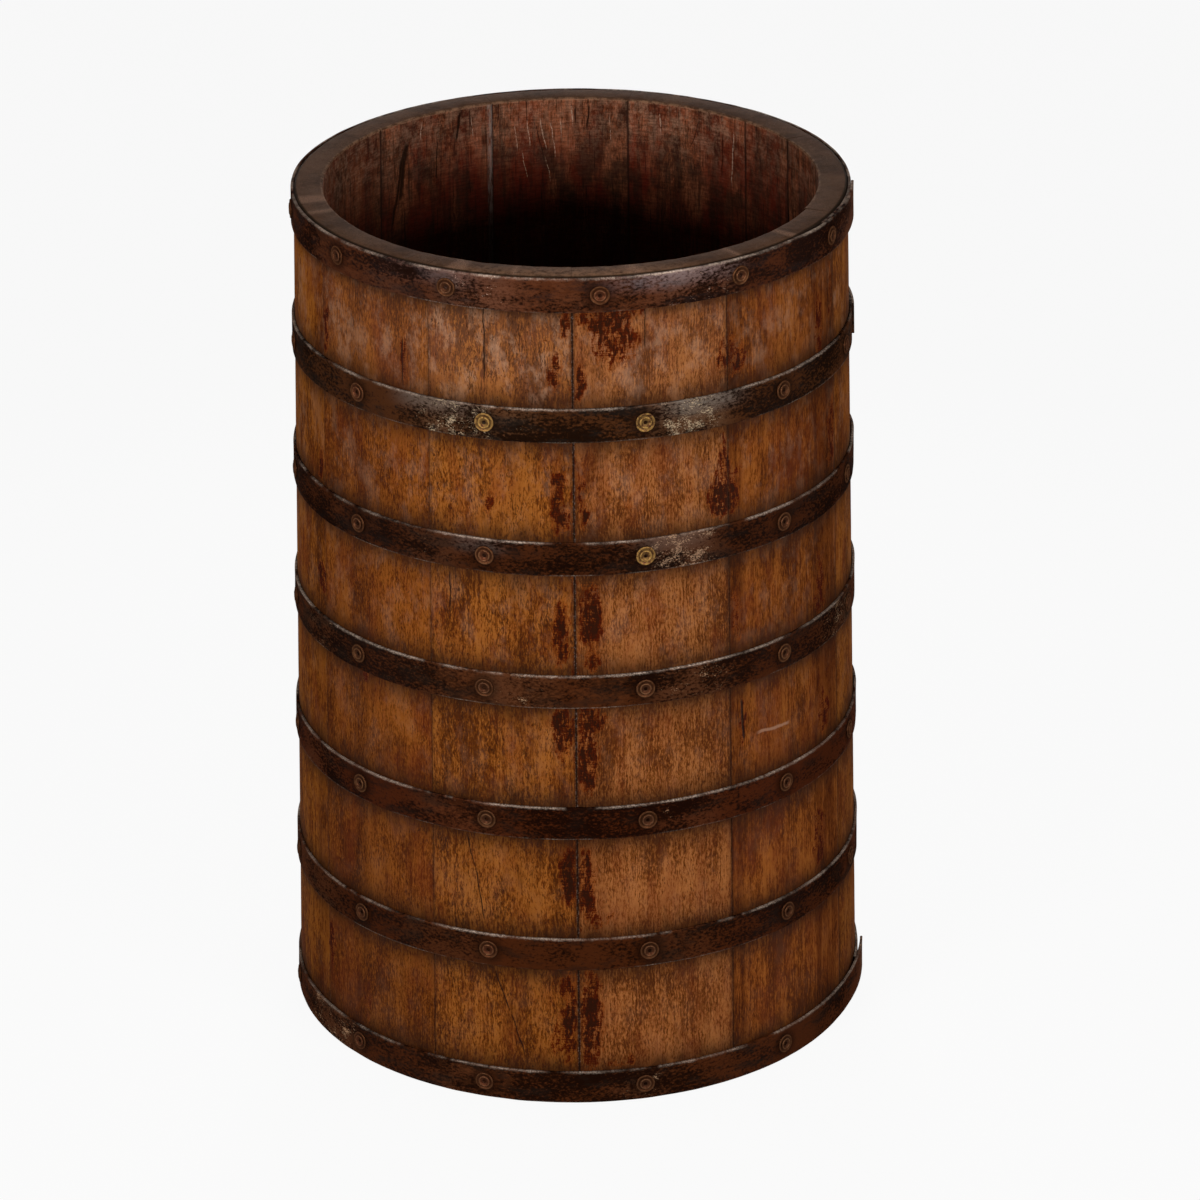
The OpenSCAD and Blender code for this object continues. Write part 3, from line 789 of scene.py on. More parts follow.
def wood_figure(wire, place, sway, pore_share, mottle):
    """Grain, fibres and open pores of a board."""
    shift = wire.sway(wire.grain(place, 12, 5), sway)
    shift = wire.sway(wire.grain(place, 150, 120, 3, 0.6), wire.times(mottle, 0.0042), shift)
    moved = wire.add("ShaderNodeCombineXYZ", shift, 0.0, 0.0).outputs[0]
    bent = wire.add("ShaderNodeVectorMath", place, moved, operation="ADD").outputs[0]
    clouds = wire.grain(place, 34, 17, 6, 0.64)
    figure = wire.grain(bent, 240, 16, 5, 0.6)
    long_fibres = wire.grain(bent, 950, 30, 4, 0.68)
    fibres = wire.grain(bent, 900, 150, 4, 0.7)
    speckle = wire.grain(bent, 820, 260, 3, 0.7)
    tone = 0.5
    for part, weight in ((clouds, 1.4), (figure, 0.4), (long_fibres, 1.05), (fibres, 0.85),
                         (speckle, wire.times(mottle, 1.8))):
        tone = wire.sway(part, weight, tone)
    dashes = wire.math("MAXIMUM", wire.grain(bent, 1100, 190), wire.grain(bent, 900, 300))
    level = wire.sway(wire.grain(place, 70, 36, 3), 0.4, dashes)
    threshold = wire.math("SUBTRACT", 0.84, wire.times(pore_share, 0.28))
    pores = wire.ramp(level, threshold, wire.math("ADD", threshold, 0.06))
    return wire.ramp(tone, 0.18, 0.82), pores, fibres, clouds


def ragged_patch(wire, place, amount, grain, stretch):
    """Breaks a soft amount into a ragged patch, its thickness left as the level."""
    longer = wire.add("ShaderNodeCombineXYZ", 1.0, 1.0, stretch).outputs[0]
    drawn = wire.add("ShaderNodeVectorMath", place, longer, operation="MULTIPLY").outputs[0]
    level = wire.sway(wire.noise(drawn, grain, 6, 0.8, 0.4), 6.4, 1.0)
    level = wire.sway(wire.noise(drawn, wire.times(grain, 0.3), 3, 0.6), 2.2, level)
    level = wire.sway(wire.grain(place, 130, 1000, 4, 0.7), 2.4, level)
    level = wire.times(level, amount)
    return wire.ramp(level, 0.42, 0.60), wire.ramp(level, 0.95, 1.4), level


def fine_line(wire, place, across, along, at, slope, low, high, half):
    """A crack or scratch: full along its middle, faded past its half width and at its ends."""
    wander = wire.sway(wire.grain(place, 90, 60, 3), 0.0045)
    middle = wire.plus(at, (wire.math("SUBTRACT", along, low), slope))
    off = wire.math("ABSOLUTE", wire.math("ADD", wire.math("SUBTRACT", across, middle), wander))
    body = wire.fade(off, wire.times(half, 0.3), half)
    start = wire.ramp(along, low, wire.math("ADD", low, 0.006))
    stop = wire.fade(along, wire.math("SUBTRACT", high, 0.004), high)
    return (wire.times(body, wire.times(start, stop)),)


def worn_edge(wire, place, distance, width, broken):
    """Rubbed and dusty edge: strongest at distance 0, broken up along its run."""
    waver = wire.sway(wire.noise(place, 520, 3, 0.7), width)
    edge = wire.fade(wire.math("ADD", distance, wire.times(waver, 1.6)), 0.0, width)
    kept = wire.ramp(wire.noise(place, 34, 4, 0.65), wire.plus(0.10, (broken, 0.3)),
                     wire.plus(0.36, (broken, 0.3)))
    beads = wire.ramp(wire.noise(place, 900, 3, 0.75), 0.38, 0.6, 0.2, 1.0)
    return (wire.times(edge, wire.times(kept, beads)),)


def grit(wire, place, amount, grain):
    """Fine speckle, thicker where the amount is high."""
    broad = wire.noise(place, wire.times(grain, 0.12), 3, 0.6)
    level = wire.sway(broad, 0.8, wire.noise(place, grain, 4, 0.75))
    bound = wire.plus(0.92, (amount, -0.42))
    return (wire.ramp(level, bound, wire.math("ADD", bound, 0.1)),)


# The shared node groups: how each is wired, what it takes besides a place, what it gives.
GROUPS = {
    "Wood Figure": (wood_figure, ("Sway", "Pore Share", "Mottle"),
                    ("Tone", "Pores", "Fibres", "Clouds")),
    "Ragged Patch": (ragged_patch, ("Amount", "Grain", "Stretch"), ("Mask", "Core", "Level")),
    "Fine Line": (fine_line, ("Across", "Along", "At", "Slope", "Low", "High", "Half Width"),
                  ("Mask",)),
    "Worn Edge": (worn_edge, ("Distance", "Width", "Broken"), ("Mask",)),
    "Grit": (grit, ("Amount", "Grain"), ("Mask",)),
}


def shared_group(name):
    """The node group of a name, built on its first use."""
    if name in bpy.data.node_groups:
        return bpy.data.node_groups[name]
    build, takes, gives = GROUPS[name]
    tree = bpy.data.node_groups.new(name, "ShaderNodeTree")
    tree.interface.new_socket(name="Place", in_out="INPUT", socket_type="NodeSocketVector")
    for way, labels in (("INPUT", takes), ("OUTPUT", gives)):
        for label in labels:
            tree.interface.new_socket(name=label, in_out=way, socket_type="NodeSocketFloat")
    wire = Wiring(tree)
    taken = tree.nodes.new("NodeGroupInput").outputs[:len(takes) + 1]
    wire.add("NodeGroupOutput", *build(wire, *taken))
    return tree


class Surface(Wiring):
    """One material: coats of colour laid one over another, then its sheen and relief."""

    def __init__(self, name):
        self.material = bpy.data.materials.new(name)
        self.material.use_nodes = True
        super().__init__(self.material.node_tree)
        self.here = self.add("ShaderNodeTexCoord").outputs["Object"]
        self.base = None

    def coat(self, colour, mask, strength=None):
        """Lays a colour over the coats before it, where the mask shows."""
        if strength is not None:
            mask = self.times(mask, strength)
        self.base = self.mix(mask, self.base, colour)

    def tint(self, colour, mask=None):
        """Multiplies the coats so far by a colour, everywhere or where a mask shows."""
        tinted = self.mix(1.0, self.base, colour, "MULTIPLY")
        self.base = tinted if mask is None else self.mix(mask, self.base, tinted)

    def finish(self, roughness, relief, depth, specular, tint=WOOD_GLOSS, metallic=0.0):
        """Feeds the shader. Old dust dulls the glancing views."""
        glancing = self.add("ShaderNodeLayerWeight", 0.5).outputs["Facing"]
        dulled = self.ramp(glancing, 0.25, 0.7)
        rough = self.plus(roughness, (self.inverse(roughness), dulled))
        bump = self.add("ShaderNodeBump")
        shader = self.tree.nodes["Principled BSDF"]
        for node, values in (
                (bump, {"Strength": 1.0, "Distance": depth, "Height": relief}),
                (shader, {"Base Color": self.base, "Roughness": rough, "Metallic": metallic,
                          "Specular IOR Level": specular, "Specular Tint": tint,
                          "Normal": bump.outputs[0]})):
            for name, value in values.items():
                self.join(node.inputs[name], value)
        return self.material


# ---- Materials ------------------------------------------------------------------------------
# Lengths and heights are in metres here.

def shaded(colour, amount):
    """A lighter or darker shade of a colour."""
    return tuple(amount * part for part in colour)


def board_at(azimuth):
    """Number of the stave at an azimuth."""
    rest = azimuth % 360
    for number, span in enumerate(STAVE_SPAN):
        if rest < span:
            return number
        rest -= span
    return len(STAVE_SPAN) - 1


def stave_surface(side, board, step_in, step_up):
    """A stave's material, its place in arc and height, and that place moved on for each stave."""
    wood = Surface(f"stave {side} {board + 1}")
    arc = wood.layer("arc")
    height = wood.add("ShaderNodeSeparateXYZ", wood.here).outputs[2]
    place = wood.add("ShaderNodeCombineXYZ", arc, 0.0, height).outputs[0]
    own = wood.add("ShaderNodeVectorMath", place, (0.0, step_in * board, step_up * board),
                   operation="ADD").outputs[0]
    return wood, place, own, arc, height


def drawn_lines(wood, place, arc, height, board, lines):
    """Mask of the fine lines that start on a board."""
    mask = 0.0
    for top_az, top_z, foot_az, foot_z, half in lines:
        if board_at(top_az) == board:
            around = 360 if top_az < 0 else 0
            at = math.radians(foot_az + around) * ARC_RADIUS
            slope = math.radians(top_az - foot_az) * ARC_RADIUS / ((top_z - foot_z) * MM)
            line = wood.group("Fine Line", place, arc, height, at, slope, foot_z * MM,
                              top_z * MM, half * MM)[0]
            mask = wood.math("MAXIMUM", mask, line)
    return mask


def outside_material(finish, board):
    """Wood of a stave's outside, each stave with its own figure, and a painted sheen towards the
    top.
    """
    wood, place, own, arc, height = stave_surface("outside", board, 0.37, 0.21)
    sway, pore_share, mottle, tint, foot_light = STAVE_FIGURE[board]
    tone, pores, fibres, clouds = wood.group("Wood Figure", own, sway, pore_share, mottle)[:4]
    wood.base = wood.mix(wood.ramp(tone, 0.0, 0.5), finish.wood_dark, finish.wood_mid)
    wood.coat(finish.wood_light, wood.ramp(tone, 0.4, 1.0))
    wood.tint(tint)
    wood.tint(wood.ramp(height, 0.06, 0.34, foot_light, 1.0))
    wood.coat(finish.wood_red, wood.ramp(wood.grain(own, 42, 18, 6, 0.68), 0.44, 0.66), 0.42)
    wood.coat(finish.wood_dark, wood.ramp(wood.grain(own, 95, 26, 6, 0.72), 0.5, 0.72), 0.5)
    # Paler towards the top: dry wood, and a painted sheen where the lamps would gloss the upper
    # wood.
    dry = wood.ramp(wood.grain(own, 62, 40, 7, 0.74), 0.46, 0.66)
    top_dry_and_sheen = wood.times(wood.ramp(height, 0.48, 0.55, 0.0, DRYNESS_AND_SHEEN[board]),
                         wood.plus(0.4, (dry, 1.4)))
    exposed_and_lit = wood.ramp(height, 0.10, 0.57, 0.05, 0.20)
    wood.coat(finish.wood_dry_and_sheen, wood.plus(top_dry_and_sheen, (dry, exposed_and_lit)))
    threads = wood.ramp(wood.grain(own, 260, 14, 4, 0.6), 0.3, 0.6, 0.35, 1.0)
    wood.tint(STREAK_TINT, wood.times(wood.ramp(wood.layer("streak"), 0.0, 1.0), threads))
    wood.coat(finish.pore, pores, 0.66)

    grime = wood.layer("grime")
    soot = wood.sway(wood.grain(place, 120, 45, 5, 0.68), wood.plus(0.25, (grime, 1.3)))
    wood.coat(finish.grime, wood.math("ADD", grime, soot, clamp=True), 0.82)

    seam, filler = wood.layer("seam"), wood.layer("filler")
    filled_joint = wood.ramp(filler, 0.15, 0.55)
    creep = wood.times(wood.times(wood.fade(seam, 0.0, 0.007), 0.5), filled_joint)
    stained = wood.math("MAXIMUM", wood.layer("stain"), creep)
    stain, core, level = wood.group("Ragged Patch", place, stained, 330.0, 0.35)[:3]
    thick = wood.ramp(wood.sway(wood.grain(place, 210, 80, 4, 0.7), 2.6, level), 0.42, 0.95)
    wood.coat(finish.stain_thin, stain, 0.45)
    wood.tint(finish.stain_thick, wood.times(stain, thick))
    wood.coat(finish.stain_core, core, 0.86)
    beside = wood.times(wood.fade(seam, 0.0, 0.009), filled_joint)
    spatter = wood.plus(0.14, (wood.layer("stain"), 0.35), (beside, 0.3))
    spatter = wood.group("Grit", wood.scaled(place, 1, 1, 0.7), spatter, 520.0)[0]
    wood.coat(finish.stain_core, spatter, 0.75)

    line = wood.layer("line")
    wood.coat(finish.pore, wood.times(wood.fade(seam, 0.0, 0.0034), line), 0.72)
    beads = wood.grain(place, 700, 520, 4, 0.75)
    crooked = wood.sway(beads, 0.0016, seam)
    filled = wood.times(wood.fade(crooked, 0.0005, 0.0013), wood.ramp(beads, 0.52, 0.6))
    wood.coat(finish.filler, filled, filler)
    wood.coat(OPEN_GAP, wood.fade(crooked, 0.0, 0.0011), line)

    cracks = drawn_lines(wood, place, arc, height, board, CRACKS)
    wood.coat(OPEN_GAP, cracks, 0.92)
    if board == SCRATCHED_STAVE:
        wood.coat(BARE_SCRATCH, wood.group("Fine Line", place, height, arc, *LONG_SCRATCH)[0], 0.6)
    flecks = wood.group("Grit", wood.scaled(place, 1, 1, 0.6), 0.02, 900.0)[0]
    wood.coat(PALE_FLECK, flecks, 0.18)

    rough = wood.plus(wood.ramp(clouds, 0.3, 0.75, 0.50, 0.66), (stain, -0.1))
    relief = wood.plus(wood.times(fibres, 0.5), (pores, -0.8), (stain, -0.15), (cracks, -2.0))
    return wood.finish(rough, relief, 0.00024, 0.07)


def inside_material(finish, board):
    """Rough-sawn wood of a stave's inside, dry at the top, with painted shade below."""
    wood, place, own, arc, height = stave_surface("inside", board, 0.41, 0.33)
    tone, pores, fibres, clouds = wood.group("Wood Figure", own, 0.02, 0.5, 0.7)[:4]
    wood.base = wood.mix(tone, shaded(finish.inside, 0.22), shaded(finish.inside, 1.2))
    red = wood.ramp(wood.grain(own, 40, 16, 4), 0.36, 0.62)
    wood.coat(finish.inside_red, red, wood.fade(height, 0.54, 0.595, 0.45))
    wood.tint((INSIDE_SHADE[board],) * 3)
    wood.coat(BLOTCH, wood.ramp(wood.grain(own, 58, 34, 5, 0.66), 0.47, 0.62), 0.78)
    wood.coat(DARK_THREAD, wood.ramp(wood.grain(own, 170, 16, 4, 0.6), 0.5, 0.6), 0.6)
    dry = wood.ramp(wood.grain(own, 150, 130, 6, 0.78), 0.42, 0.62)
    wood.coat(finish.inside_dust, dry, wood.ramp(height, 0.55, 0.606, 0.04, INSIDE_DUST[board]))
    wood.tint(wood.ramp(wood.grain(own, 110, 800, 4, 0.7), 0.36, 0.64, 0.72, 1.3))
    ticks = wood.group("Grit", wood.scaled(own, 1, 1, 0.5), 0.22, 420.0)[0]
    wood.coat(PALE_TICK, ticks, wood.ramp(height, 0.52, 0.6, 0.1, 0.8))
    wood.coat(SAW_CUT, wood.ramp(wood.grain(own, 420, 26, 4, 0.66), 0.6, 0.66), 0.8)
    wood.coat(DAMP_AND_DEPTH_SHADE, pores, 0.7)

    broken = wood.ramp(wood.noise(place, 500, 4, 0.7), 0.4, 0.55)
    scratches = drawn_lines(wood, place, arc, height, board, INSIDE_SCRATCHES)
    wood.coat(PALE_SCRATCH, scratches, broken)
    cracks = drawn_lines(wood, place, arc, height, board, INSIDE_CRACKS)
    wood.coat(INSIDE_GAP, cracks, 0.9)
    wood.coat(finish.rim_worn_and_lit, wood.times(wood.ramp(height, 0.6074, 0.6088), broken), 0.55)
    wood.coat(INSIDE_JOINT, wood.fade(wood.layer("seam"), 0.0002, 0.0018), 0.85)
    if board == FILLED_STAVE:
        start = math.radians(sum(STAVE_SPAN[:board])) * ARC_RADIUS
        strip = wood.fade(arc, start + 0.0035, start + 0.0048)
        patchy = wood.ramp(wood.grain(place, 600, 90, 4, 0.7), 0.36, 0.6)
        wood.coat(finish.filler, wood.times(strip, patchy), 0.5)
    # Painted shade: the inside is darkened below its top. It is fullest just under the lit band and
    # eases off towards the head.
    depth_shade = wood.times(wood.fade(height, 0.47, 0.575), wood.ramp(height, 0.30, 0.45, 0.2, 1.0))
    wood.coat(DAMP_AND_DEPTH_SHADE, depth_shade, 0.8)

    saw_marks = wood.times(wood.grain(place, 40, 420), 0.4)
    relief = wood.plus(saw_marks, (fibres, 1.0), (cracks, -1.5))
    return wood.finish(wood.ramp(clouds, 0.3, 0.7, 0.5, 0.72), relief, 0.0006, 0.07)


def end_material(finish):
    """End grain of the rim and foot, rubbed at its corners, with painted light on the front of the
    rim and a painted shadow round its outer edge.
    """
    wood = Surface("stave ends")
    streaks = wood.grain(wood.here, 190, 190, 6, 0.78)
    cells = wood.noise(wood.here, 1300, 4, 0.8)
    clouds = wood.noise(wood.here, 30, 5, 0.65)
    tone = wood.plus(clouds, (streaks, 0.9), (cells, 0.7))
    wood.base = wood.mix(wood.ramp(tone, 1.0, 1.6), shaded(finish.rim, 0.42), finish.rim)
    # Painted light: the rim's end grain is made paler on the front, the side that faces the lamps
    # and camera.
    to_back = wood.add("ShaderNodeSeparateXYZ", wood.here).outputs[1]
    front = wood.ramp(to_back, -0.185, -0.158, 0.6, 0.0)
    wood.coat(finish.rim_worn_and_lit, front, wood.ramp(streaks, 0.36, 0.6))
    from_lip = wood.inverse(wood.layer("lip"))
    wood.coat(finish.rim_worn_and_lit, wood.group("Worn Edge", wood.here, from_lip, 0.9, 0.8)[0], 0.22)
    marks = wood.times(wood.layer("mark"), wood.ramp(cells, 0.4, 0.6))
    wood.coat(finish.rim_mark, marks, 0.4)
    wood.coat(RIM_FLECK, wood.group("Grit", wood.here, 0.03, 420.0)[0], 0.35)
    flat = wood.scaled(wood.here, 1, 1, 0)
    reach = wood.add("ShaderNodeVectorMath", flat, operation="LENGTH").outputs["Value"]
    # Painted shadow: the rim's end grain is darkened round its outer edge, under the hoop's top
    # edge.
    wood.coat(HOOP_EDGE_SHADOW, wood.ramp(reach, 0.1872, 0.1886, 0.0, 0.9))
    inner_edge = wood.fade(reach, 0.1706, 0.1722)
    wood.coat(finish.rim_worn_and_lit, inner_edge, wood.ramp(streaks, 0.42, 0.62, 0.0, 0.6))
    wood.coat(finish.pore, wood.fade(wood.layer("seam"), 0.0001, 0.0008), 0.35)
    relief = wood.plus(streaks, (cells, 0.6))
    return wood.finish(wood.ramp(clouds, 0.3, 0.7, 0.7, 0.85), relief, 0.0003, 0.06)


def head_material(finish):
    """Old boards of the head, dark with soil and moisture."""
    wood = Surface("head boards")
    turned = wood.add("ShaderNodeMapping", wood.here, vector_type="POINT")
    turned.inputs["Rotation"].default_value = (math.pi / 2, 0, 0)
    tone, pores, fibres, clouds = wood.group("Wood Figure", turned.outputs[0], 0.03, 0.6, 0.4)[:4]
    wood.base = wood.mix(tone, shaded(finish.inside, 0.4), shaded(finish.inside, 1.7))
    wood.coat(HEAD_PORE, pores, 0.7)
    wood.coat(SOIL, wood.group("Ragged Patch", wood.here, 0.42, 45.0, 1.0)[0], 0.5)
    relief = wood.plus(fibres, (pores, -0.8))
    return wood.finish(wood.ramp(clouds, 0.3, 0.7, 0.6, 0.8), relief, 0.0004, 0.1)


def iron_material(finish, i):
    """Old hoop iron: mottled, rubbed in patches, dusty along its edges, with painted highlights, a
    painted sheen and a painted glint along its edges.
    """
    iron = Surface(f"{HOOPS[i]} iron")
    run, across = iron.layer("run"), iron.layer("across")
    own = iron.add("ShaderNodeCombineXYZ", run, iron.times(across, HALF_STRAP),
                   3.1 * i).outputs[0]
    drawn = iron.scaled(own, 0.42, 1, 1)
    mottle = iron.sway(iron.noise(drawn, 21, 3, 0.55), 0.9, iron.noise(drawn, 60, 5, 0.62))
    fine = iron.noise(iron.scaled(own, 0.6, 1, 1), 560, 4, 0.72)
    level = iron.sway(fine, 1.5, mottle)
    iron.base = iron.mix(iron.ramp(level, 0.35, 0.65), finish.iron_dark, finish.iron)
    rusty = iron.plus(0.2, (iron.layer("rust"), 0.5))
    iron.coat(finish.iron_rust, iron.group("Ragged Patch", drawn, rusty, 190.0, 1.0)[0], 0.22)
    iron.coat(SOOT, iron.ramp(iron.noise(drawn, 85, 5, 0.62), 0.5, 0.64), 0.55)
    iron.coat(finish.iron_dark, iron.layer("halo"), 0.65)
    # Painted sheen: a cool reflection laid on the upper half of the iron.
    sheen = iron.times(iron.layer("sheen"), iron.ramp(level, 0.3, 0.75))
    iron.coat(finish.iron_painted_sheen, sheen, 0.6)
    # Wear, and painted highlights where the lamps would glint: paler, smoother speckle in these
    # patches.
    rubbed = iron.layer("wear_and_glint")
    glint_haze = iron.times(rubbed, iron.ramp(level, 0.36, 0.72))
    iron.coat(finish.iron_worn_and_glint, glint_haze, 0.05)
    wear_and_glint = iron.group("Grit", iron.scaled(own, 0.8, 1.15, 1), iron.plus(0.16, (rubbed, 0.7)),
                      820.0)[0]
    iron.coat(finish.iron_worn_and_glint, wear_and_glint, 0.68)
    iron.tint(IRON_TINT[i])
    # Dust along the strap's edges, with a painted glint where the eased edges would catch the
    # lamps.
    from_top = iron.times(iron.inverse(across), HALF_STRAP)
    from_foot = iron.times(iron.math("ADD", 1.0, across), HALF_STRAP)
    top = iron.group("Worn Edge", own, from_top, 0.0021, 0.95)[0]
    foot = iron.group("Worn Edge", own, from_foot, 0.0011, 1.1)[0]
    iron.coat(finish.iron_dust_and_glint, iron.math("MAXIMUM", top, iron.times(foot, 0.7)))
    smoother = iron.math("MAXIMUM", glint_haze, sheen)
    rough = iron.plus(iron.ramp(level, 0.3, 0.7, 0.42, 0.6), (smoother, -0.08))
    relief = iron.plus(iron.times(mottle, 1.4), (fine, 0.5), (wear_and_glint, 0.3))
    return iron.finish(rough, relief, 0.00035, 0.05, IRON_GLOSS, 0.5)


def brass_material(finish, name, dark_share):
    """Tarnished brass, rubbed and painted lighter on its crests as a highlight, painted darker in
    its hollows as shade, and different from nail to nail.
    """
    brass = Surface(name)
    shine, copper, rise = (brass.layer(layer) for layer in ("shine", "copper", "rise"))
    blotch = brass.noise(brass.here, 420, 4, 0.7)
    brass.base = brass.mix(copper, finish.brass, finish.copper)
    brass.coat(finish.iron, brass.inverse(shine), dark_share)
    # The crests are made paler: rubbed brass, and a painted highlight on the top of each ring.
    high = brass.times(brass.ramp(rise, 0.8, 1.0), brass.math("SUBTRACT", 1.6, dark_share))
    kept = brass.plus(brass.times(high, 0.45), (shine, 0.55))
    kept = brass.math("MULTIPLY", kept, brass.ramp(blotch, 0.34, 0.6), clamp=True)
    brass.coat(brass.mix(shine, finish.brass_crest_wear_and_highlight, finish.brass_bright), kept)
    # Painted shade in the low hollows of the washers and nails.
    brass.coat(NAIL_HOLLOW_SHADE, brass.fade(rise, 0.3, 0.66), 0.85)
    rough = brass.ramp(blotch, 0.3, 0.7, 0.34, 0.58)
    return brass.finish(rough, blotch, 0.0002, 0.1, BRASS_GLOSS, 0.6)


# ---- Operators ------------------------------------------------------------------------------

class BARREL_OT_staves(Operator):
    """Builds the twelve staves"""
    bl_idname = "barrel.staves"
    bl_label = "Staves"

    def execute(self, context):
        sizes, finish = context.scene.barrel_sizes, context.scene.barrel_finish
        places = stain_places()
        ends = end_material(finish)
        start = 0.0
        for number, span in enumerate(STAVE_SPAN):
            width = math.radians(span) * ARC_RADIUS
            bm = board_shape(sizes, width)
            sort_stave_faces(bm)
            stave_layers(bm, number, start, width, places)
            bend_stave(bm, sizes, start, number)
            materials = (outside_material(finish, number), inside_material(finish, number), ends)
            finish_piece(bm, materials, f"stave_{number + 1:02d}")
            start += span
        return {"FINISHED"}


class BARREL_OT_head(Operator):
    """Builds the boards of the head and finishes their dowels"""
    bl_idname = "barrel.head"
    bl_label = "Head"

    def execute(self, context):
        wood = head_material(context.scene.barrel_finish)
        for board in range(HEAD_BOARDS):
            bm = head_shape(context.scene.barrel_sizes, board)
            finish_piece(bm, (wood,), f"head_board_{board + 1}")
        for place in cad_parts["head_dowels"].material_slots:
            place.material = wood
        return {"FINISHED"}


class BARREL_OT_hoops(Operator):
    """Wraps the seven iron hoops round the staves"""
    bl_idname = "barrel.hoops"
    bl_label = "Hoops"

    def execute(self, context):
        sizes, finish = context.scene.barrel_sizes, context.scene.barrel_finish
        for i, node in enumerate(HOOPS):
            bm, girth = strap_shape(sizes, i)
            wrap_strap(bm, sizes, i, girth)
            finish_piece(bm, (iron_material(finish, i),), node)
        return {"FINISHED"}


class BARREL_OT_washers(Operator):
    """Turns the cupped washers of each hoop"""
    bl_idname = "barrel.washers"
    bl_label = "Washers"

    def execute(self, context):
        sizes = context.scene.barrel_sizes
        brass = brass_material(context.scene.barrel_finish, "washer brass", 0.95)
        for i, hoop in enumerate(HOOPS):
            bm = turned_set(sizes, i, washer_profile(sizes), True, WASHER_STEPS, 0.04)
            finish_piece(bm, (brass,), f"{hoop}_washers", 60)
        return {"FINISHED"}


class BARREL_OT_nails(Operator):
    """Turns the nails of each hoop, with their hollow heads"""
    bl_idname = "barrel.nails"
    bl_label = "Nails"

    def execute(self, context):
        sizes = context.scene.barrel_sizes
        brass = brass_material(context.scene.barrel_finish, "nail brass", 0.6)
        for i, hoop in enumerate(HOOPS):
            bm = turned_set(sizes, i, nail_profile(sizes), False, NAIL_STEPS, 0.06)
            finish_piece(bm, (brass,), f"{hoop}_nails", 60)
        return {"FINISHED"}


def seen_directly(wire):
    """1 for rays from the camera and for glossy and transmitted ones, 0 for the rest."""
    path = wire.add("ShaderNodeLightPath").outputs
    seen = wire.math("MAXIMUM", path["Is Camera Ray"], path["Is Glossy Ray"])
    return wire.math("MAXIMUM", seen, path["Is Transmission Ray"])


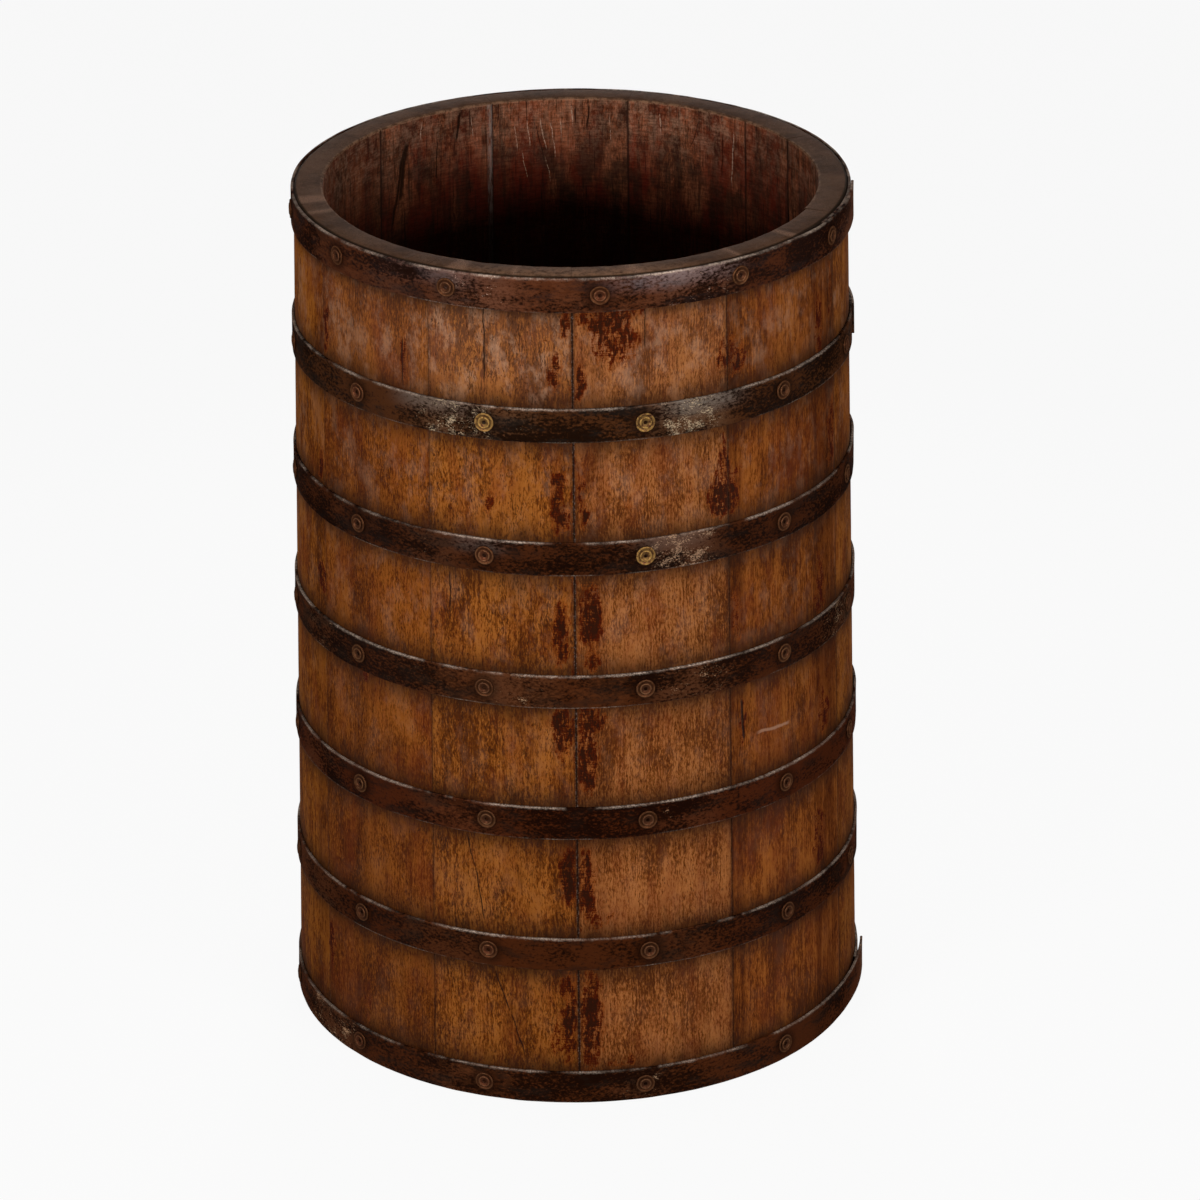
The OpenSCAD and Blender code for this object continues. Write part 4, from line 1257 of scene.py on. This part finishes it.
class BARREL_OT_stage(Operator):
    """Sets the floor, the lights, the surround and the camera"""
    bl_idname = "barrel.stage"
    bl_label = "Studio"

    def execute(self, context):
        scene = context.scene
        self.lay_floor(scene)
        self.hang_lights(scene)
        self.light_surround(scene)
        self.place_camera(scene)
        scene.view_settings.view_transform = "Standard"
        return {"FINISHED"}

    def lay_floor(self, scene):
        bm = bmesh.new()
        bmesh.ops.create_grid(bm, x_segments=1, y_segments=1, size=FLOOR_HALF)
        mesh = bpy.data.meshes.new("floor")
        bm.to_mesh(mesh)
        bm.free()
        material = bpy.data.materials.new("studio floor")
        material.use_nodes = True
        tree = material.node_tree
        wire = Wiring(tree)
        shader = tree.nodes["Principled BSDF"]
        for name, value in (("Base Color", tuple(scene.barrel_finish.floor)), ("Roughness", 0.9),
                            ("Specular IOR Level", 0.1)):
            wire.join(shader.inputs[name], value)
        glow = wire.add("ShaderNodeEmission", (1.0, 1.0, 1.0, 1.0), 1.0)
        blend = wire.add("ShaderNodeMixShader", wire.times(seen_directly(wire), FLOOR_GLOW),
                         shader.outputs[0], glow.outputs[0])
        wire.join(tree.nodes["Material Output"].inputs["Surface"], blend.outputs[0])
        mesh.materials.append(material)
        floor = bpy.data.objects.new("studio_floor", mesh)
        scene.collection.objects.link(floor)

    def hang_lights(self, scene):
        studio = scene.barrel_studio
        aim = Vector((0, 0, LAMP_AIM))
        lamps = (("key", polar(LAMP_FAR, KEY_AT, LAMP_HIGH), studio.key),
                 ("fill", polar(LAMP_FAR, FILL_AT, LAMP_HIGH), studio.fill),
                 ("back", polar(LAMP_FAR, BACK_AT, LAMP_HIGH), studio.back),
                 ("above", Vector((0, 0, TOP_LAMP_HIGH)), studio.above))
        for name, place, power_set in lamps:
            light = bpy.data.lights.new(f"{name}_light", "AREA")
            light.shape = "RECTANGLE"
            light.size, light.size_y = LAMP_SIZE
            light.energy = power_set
            light.spread = math.radians(LAMP_SPREAD)
            lamp = bpy.data.objects.new(f"{name}_light", light)
            lamp.location = place
            lamp.rotation_euler = (lamp.location - aim).to_track_quat("Z", "Y").to_euler()
            scene.collection.objects.link(lamp)

    def light_surround(self, scene):
        world = bpy.data.worlds.new("surround")
        world.use_nodes = True
        wire = Wiring(world.node_tree)
        strength = wire.ramp(seen_directly(wire), 0.0, 1.0, scene.barrel_studio.surround, 1.0)
        back = world.node_tree.nodes["Background"]
        wire.join(back.inputs["Color"], (1.0, 1.0, 1.0, 1.0))
        wire.join(back.inputs["Strength"], strength)
        scene.world = world

    def place_camera(self, scene):
        camera = bpy.data.cameras.new("camera")
        camera.lens = scene.barrel_studio.lens
        camera.sensor_width = 36.0
        camera.shift_x, camera.shift_y = CAMERA_SHIFT
        seen_from = bpy.data.objects.new("camera", camera)
        elevation = math.radians(CAMERA_ABOVE)
        back = Vector((0, -math.cos(elevation), math.sin(elevation)))
        seen_from.location = Vector((0, 0, CAMERA_AIM)) + back * CAMERA_FAR
        seen_from.rotation_mode = "QUATERNION"
        lean = Matrix.Rotation(math.radians(CAMERA_ROLL), 3, "Z").to_quaternion()
        seen_from.rotation_quaternion = back.to_track_quat("Z", "Y") @ lean
        scene.collection.objects.link(seen_from)
        scene.camera = seen_from


class BARREL_PT_panel(Panel):
    """Lists the barrel's pieces in the sidebar"""
    bl_idname = "BARREL_PT_panel"
    bl_label = "Barrel Planter"
    bl_space_type = "VIEW_3D"
    bl_region_type = "UI"
    bl_category = "Barrel"

    def draw(self, context):
        for operator in OPERATORS:
            self.layout.operator(operator.bl_idname)
        for settings in SETTINGS:
            group = getattr(context.scene, settings)
            box = self.layout.box()
            for name in group.__annotations__:
                box.prop(group, name)


OPERATORS = (BARREL_OT_staves, BARREL_OT_head, BARREL_OT_hoops, BARREL_OT_washers,
             BARREL_OT_nails, BARREL_OT_stage)
SETTINGS = {"barrel_sizes": BarrelSizes, "barrel_finish": BarrelFinish,
            "barrel_studio": StudioSetup}
CLASSES = (*SETTINGS.values(), *OPERATORS, BARREL_PT_panel)


def register():
    """Adds the settings, operators and panel to Blender."""
    for item in CLASSES:
        bpy.utils.register_class(item)
    for name, settings in SETTINGS.items():
        setattr(bpy.types.Scene, name, PointerProperty(type=settings))


def unregister():
    """Takes them out again."""
    for name in SETTINGS:
        delattr(bpy.types.Scene, name)
    for item in reversed(CLASSES):
        bpy.utils.unregister_class(item)


def main():
    """Builds the barrel and its studio."""
    register()
    bpy.ops.barrel.staves()
    bpy.ops.barrel.head()
    bpy.ops.barrel.hoops()
    bpy.ops.barrel.washers()
    bpy.ops.barrel.nails()
    bpy.ops.barrel.stage()


if __name__ == "__main__":
    main()
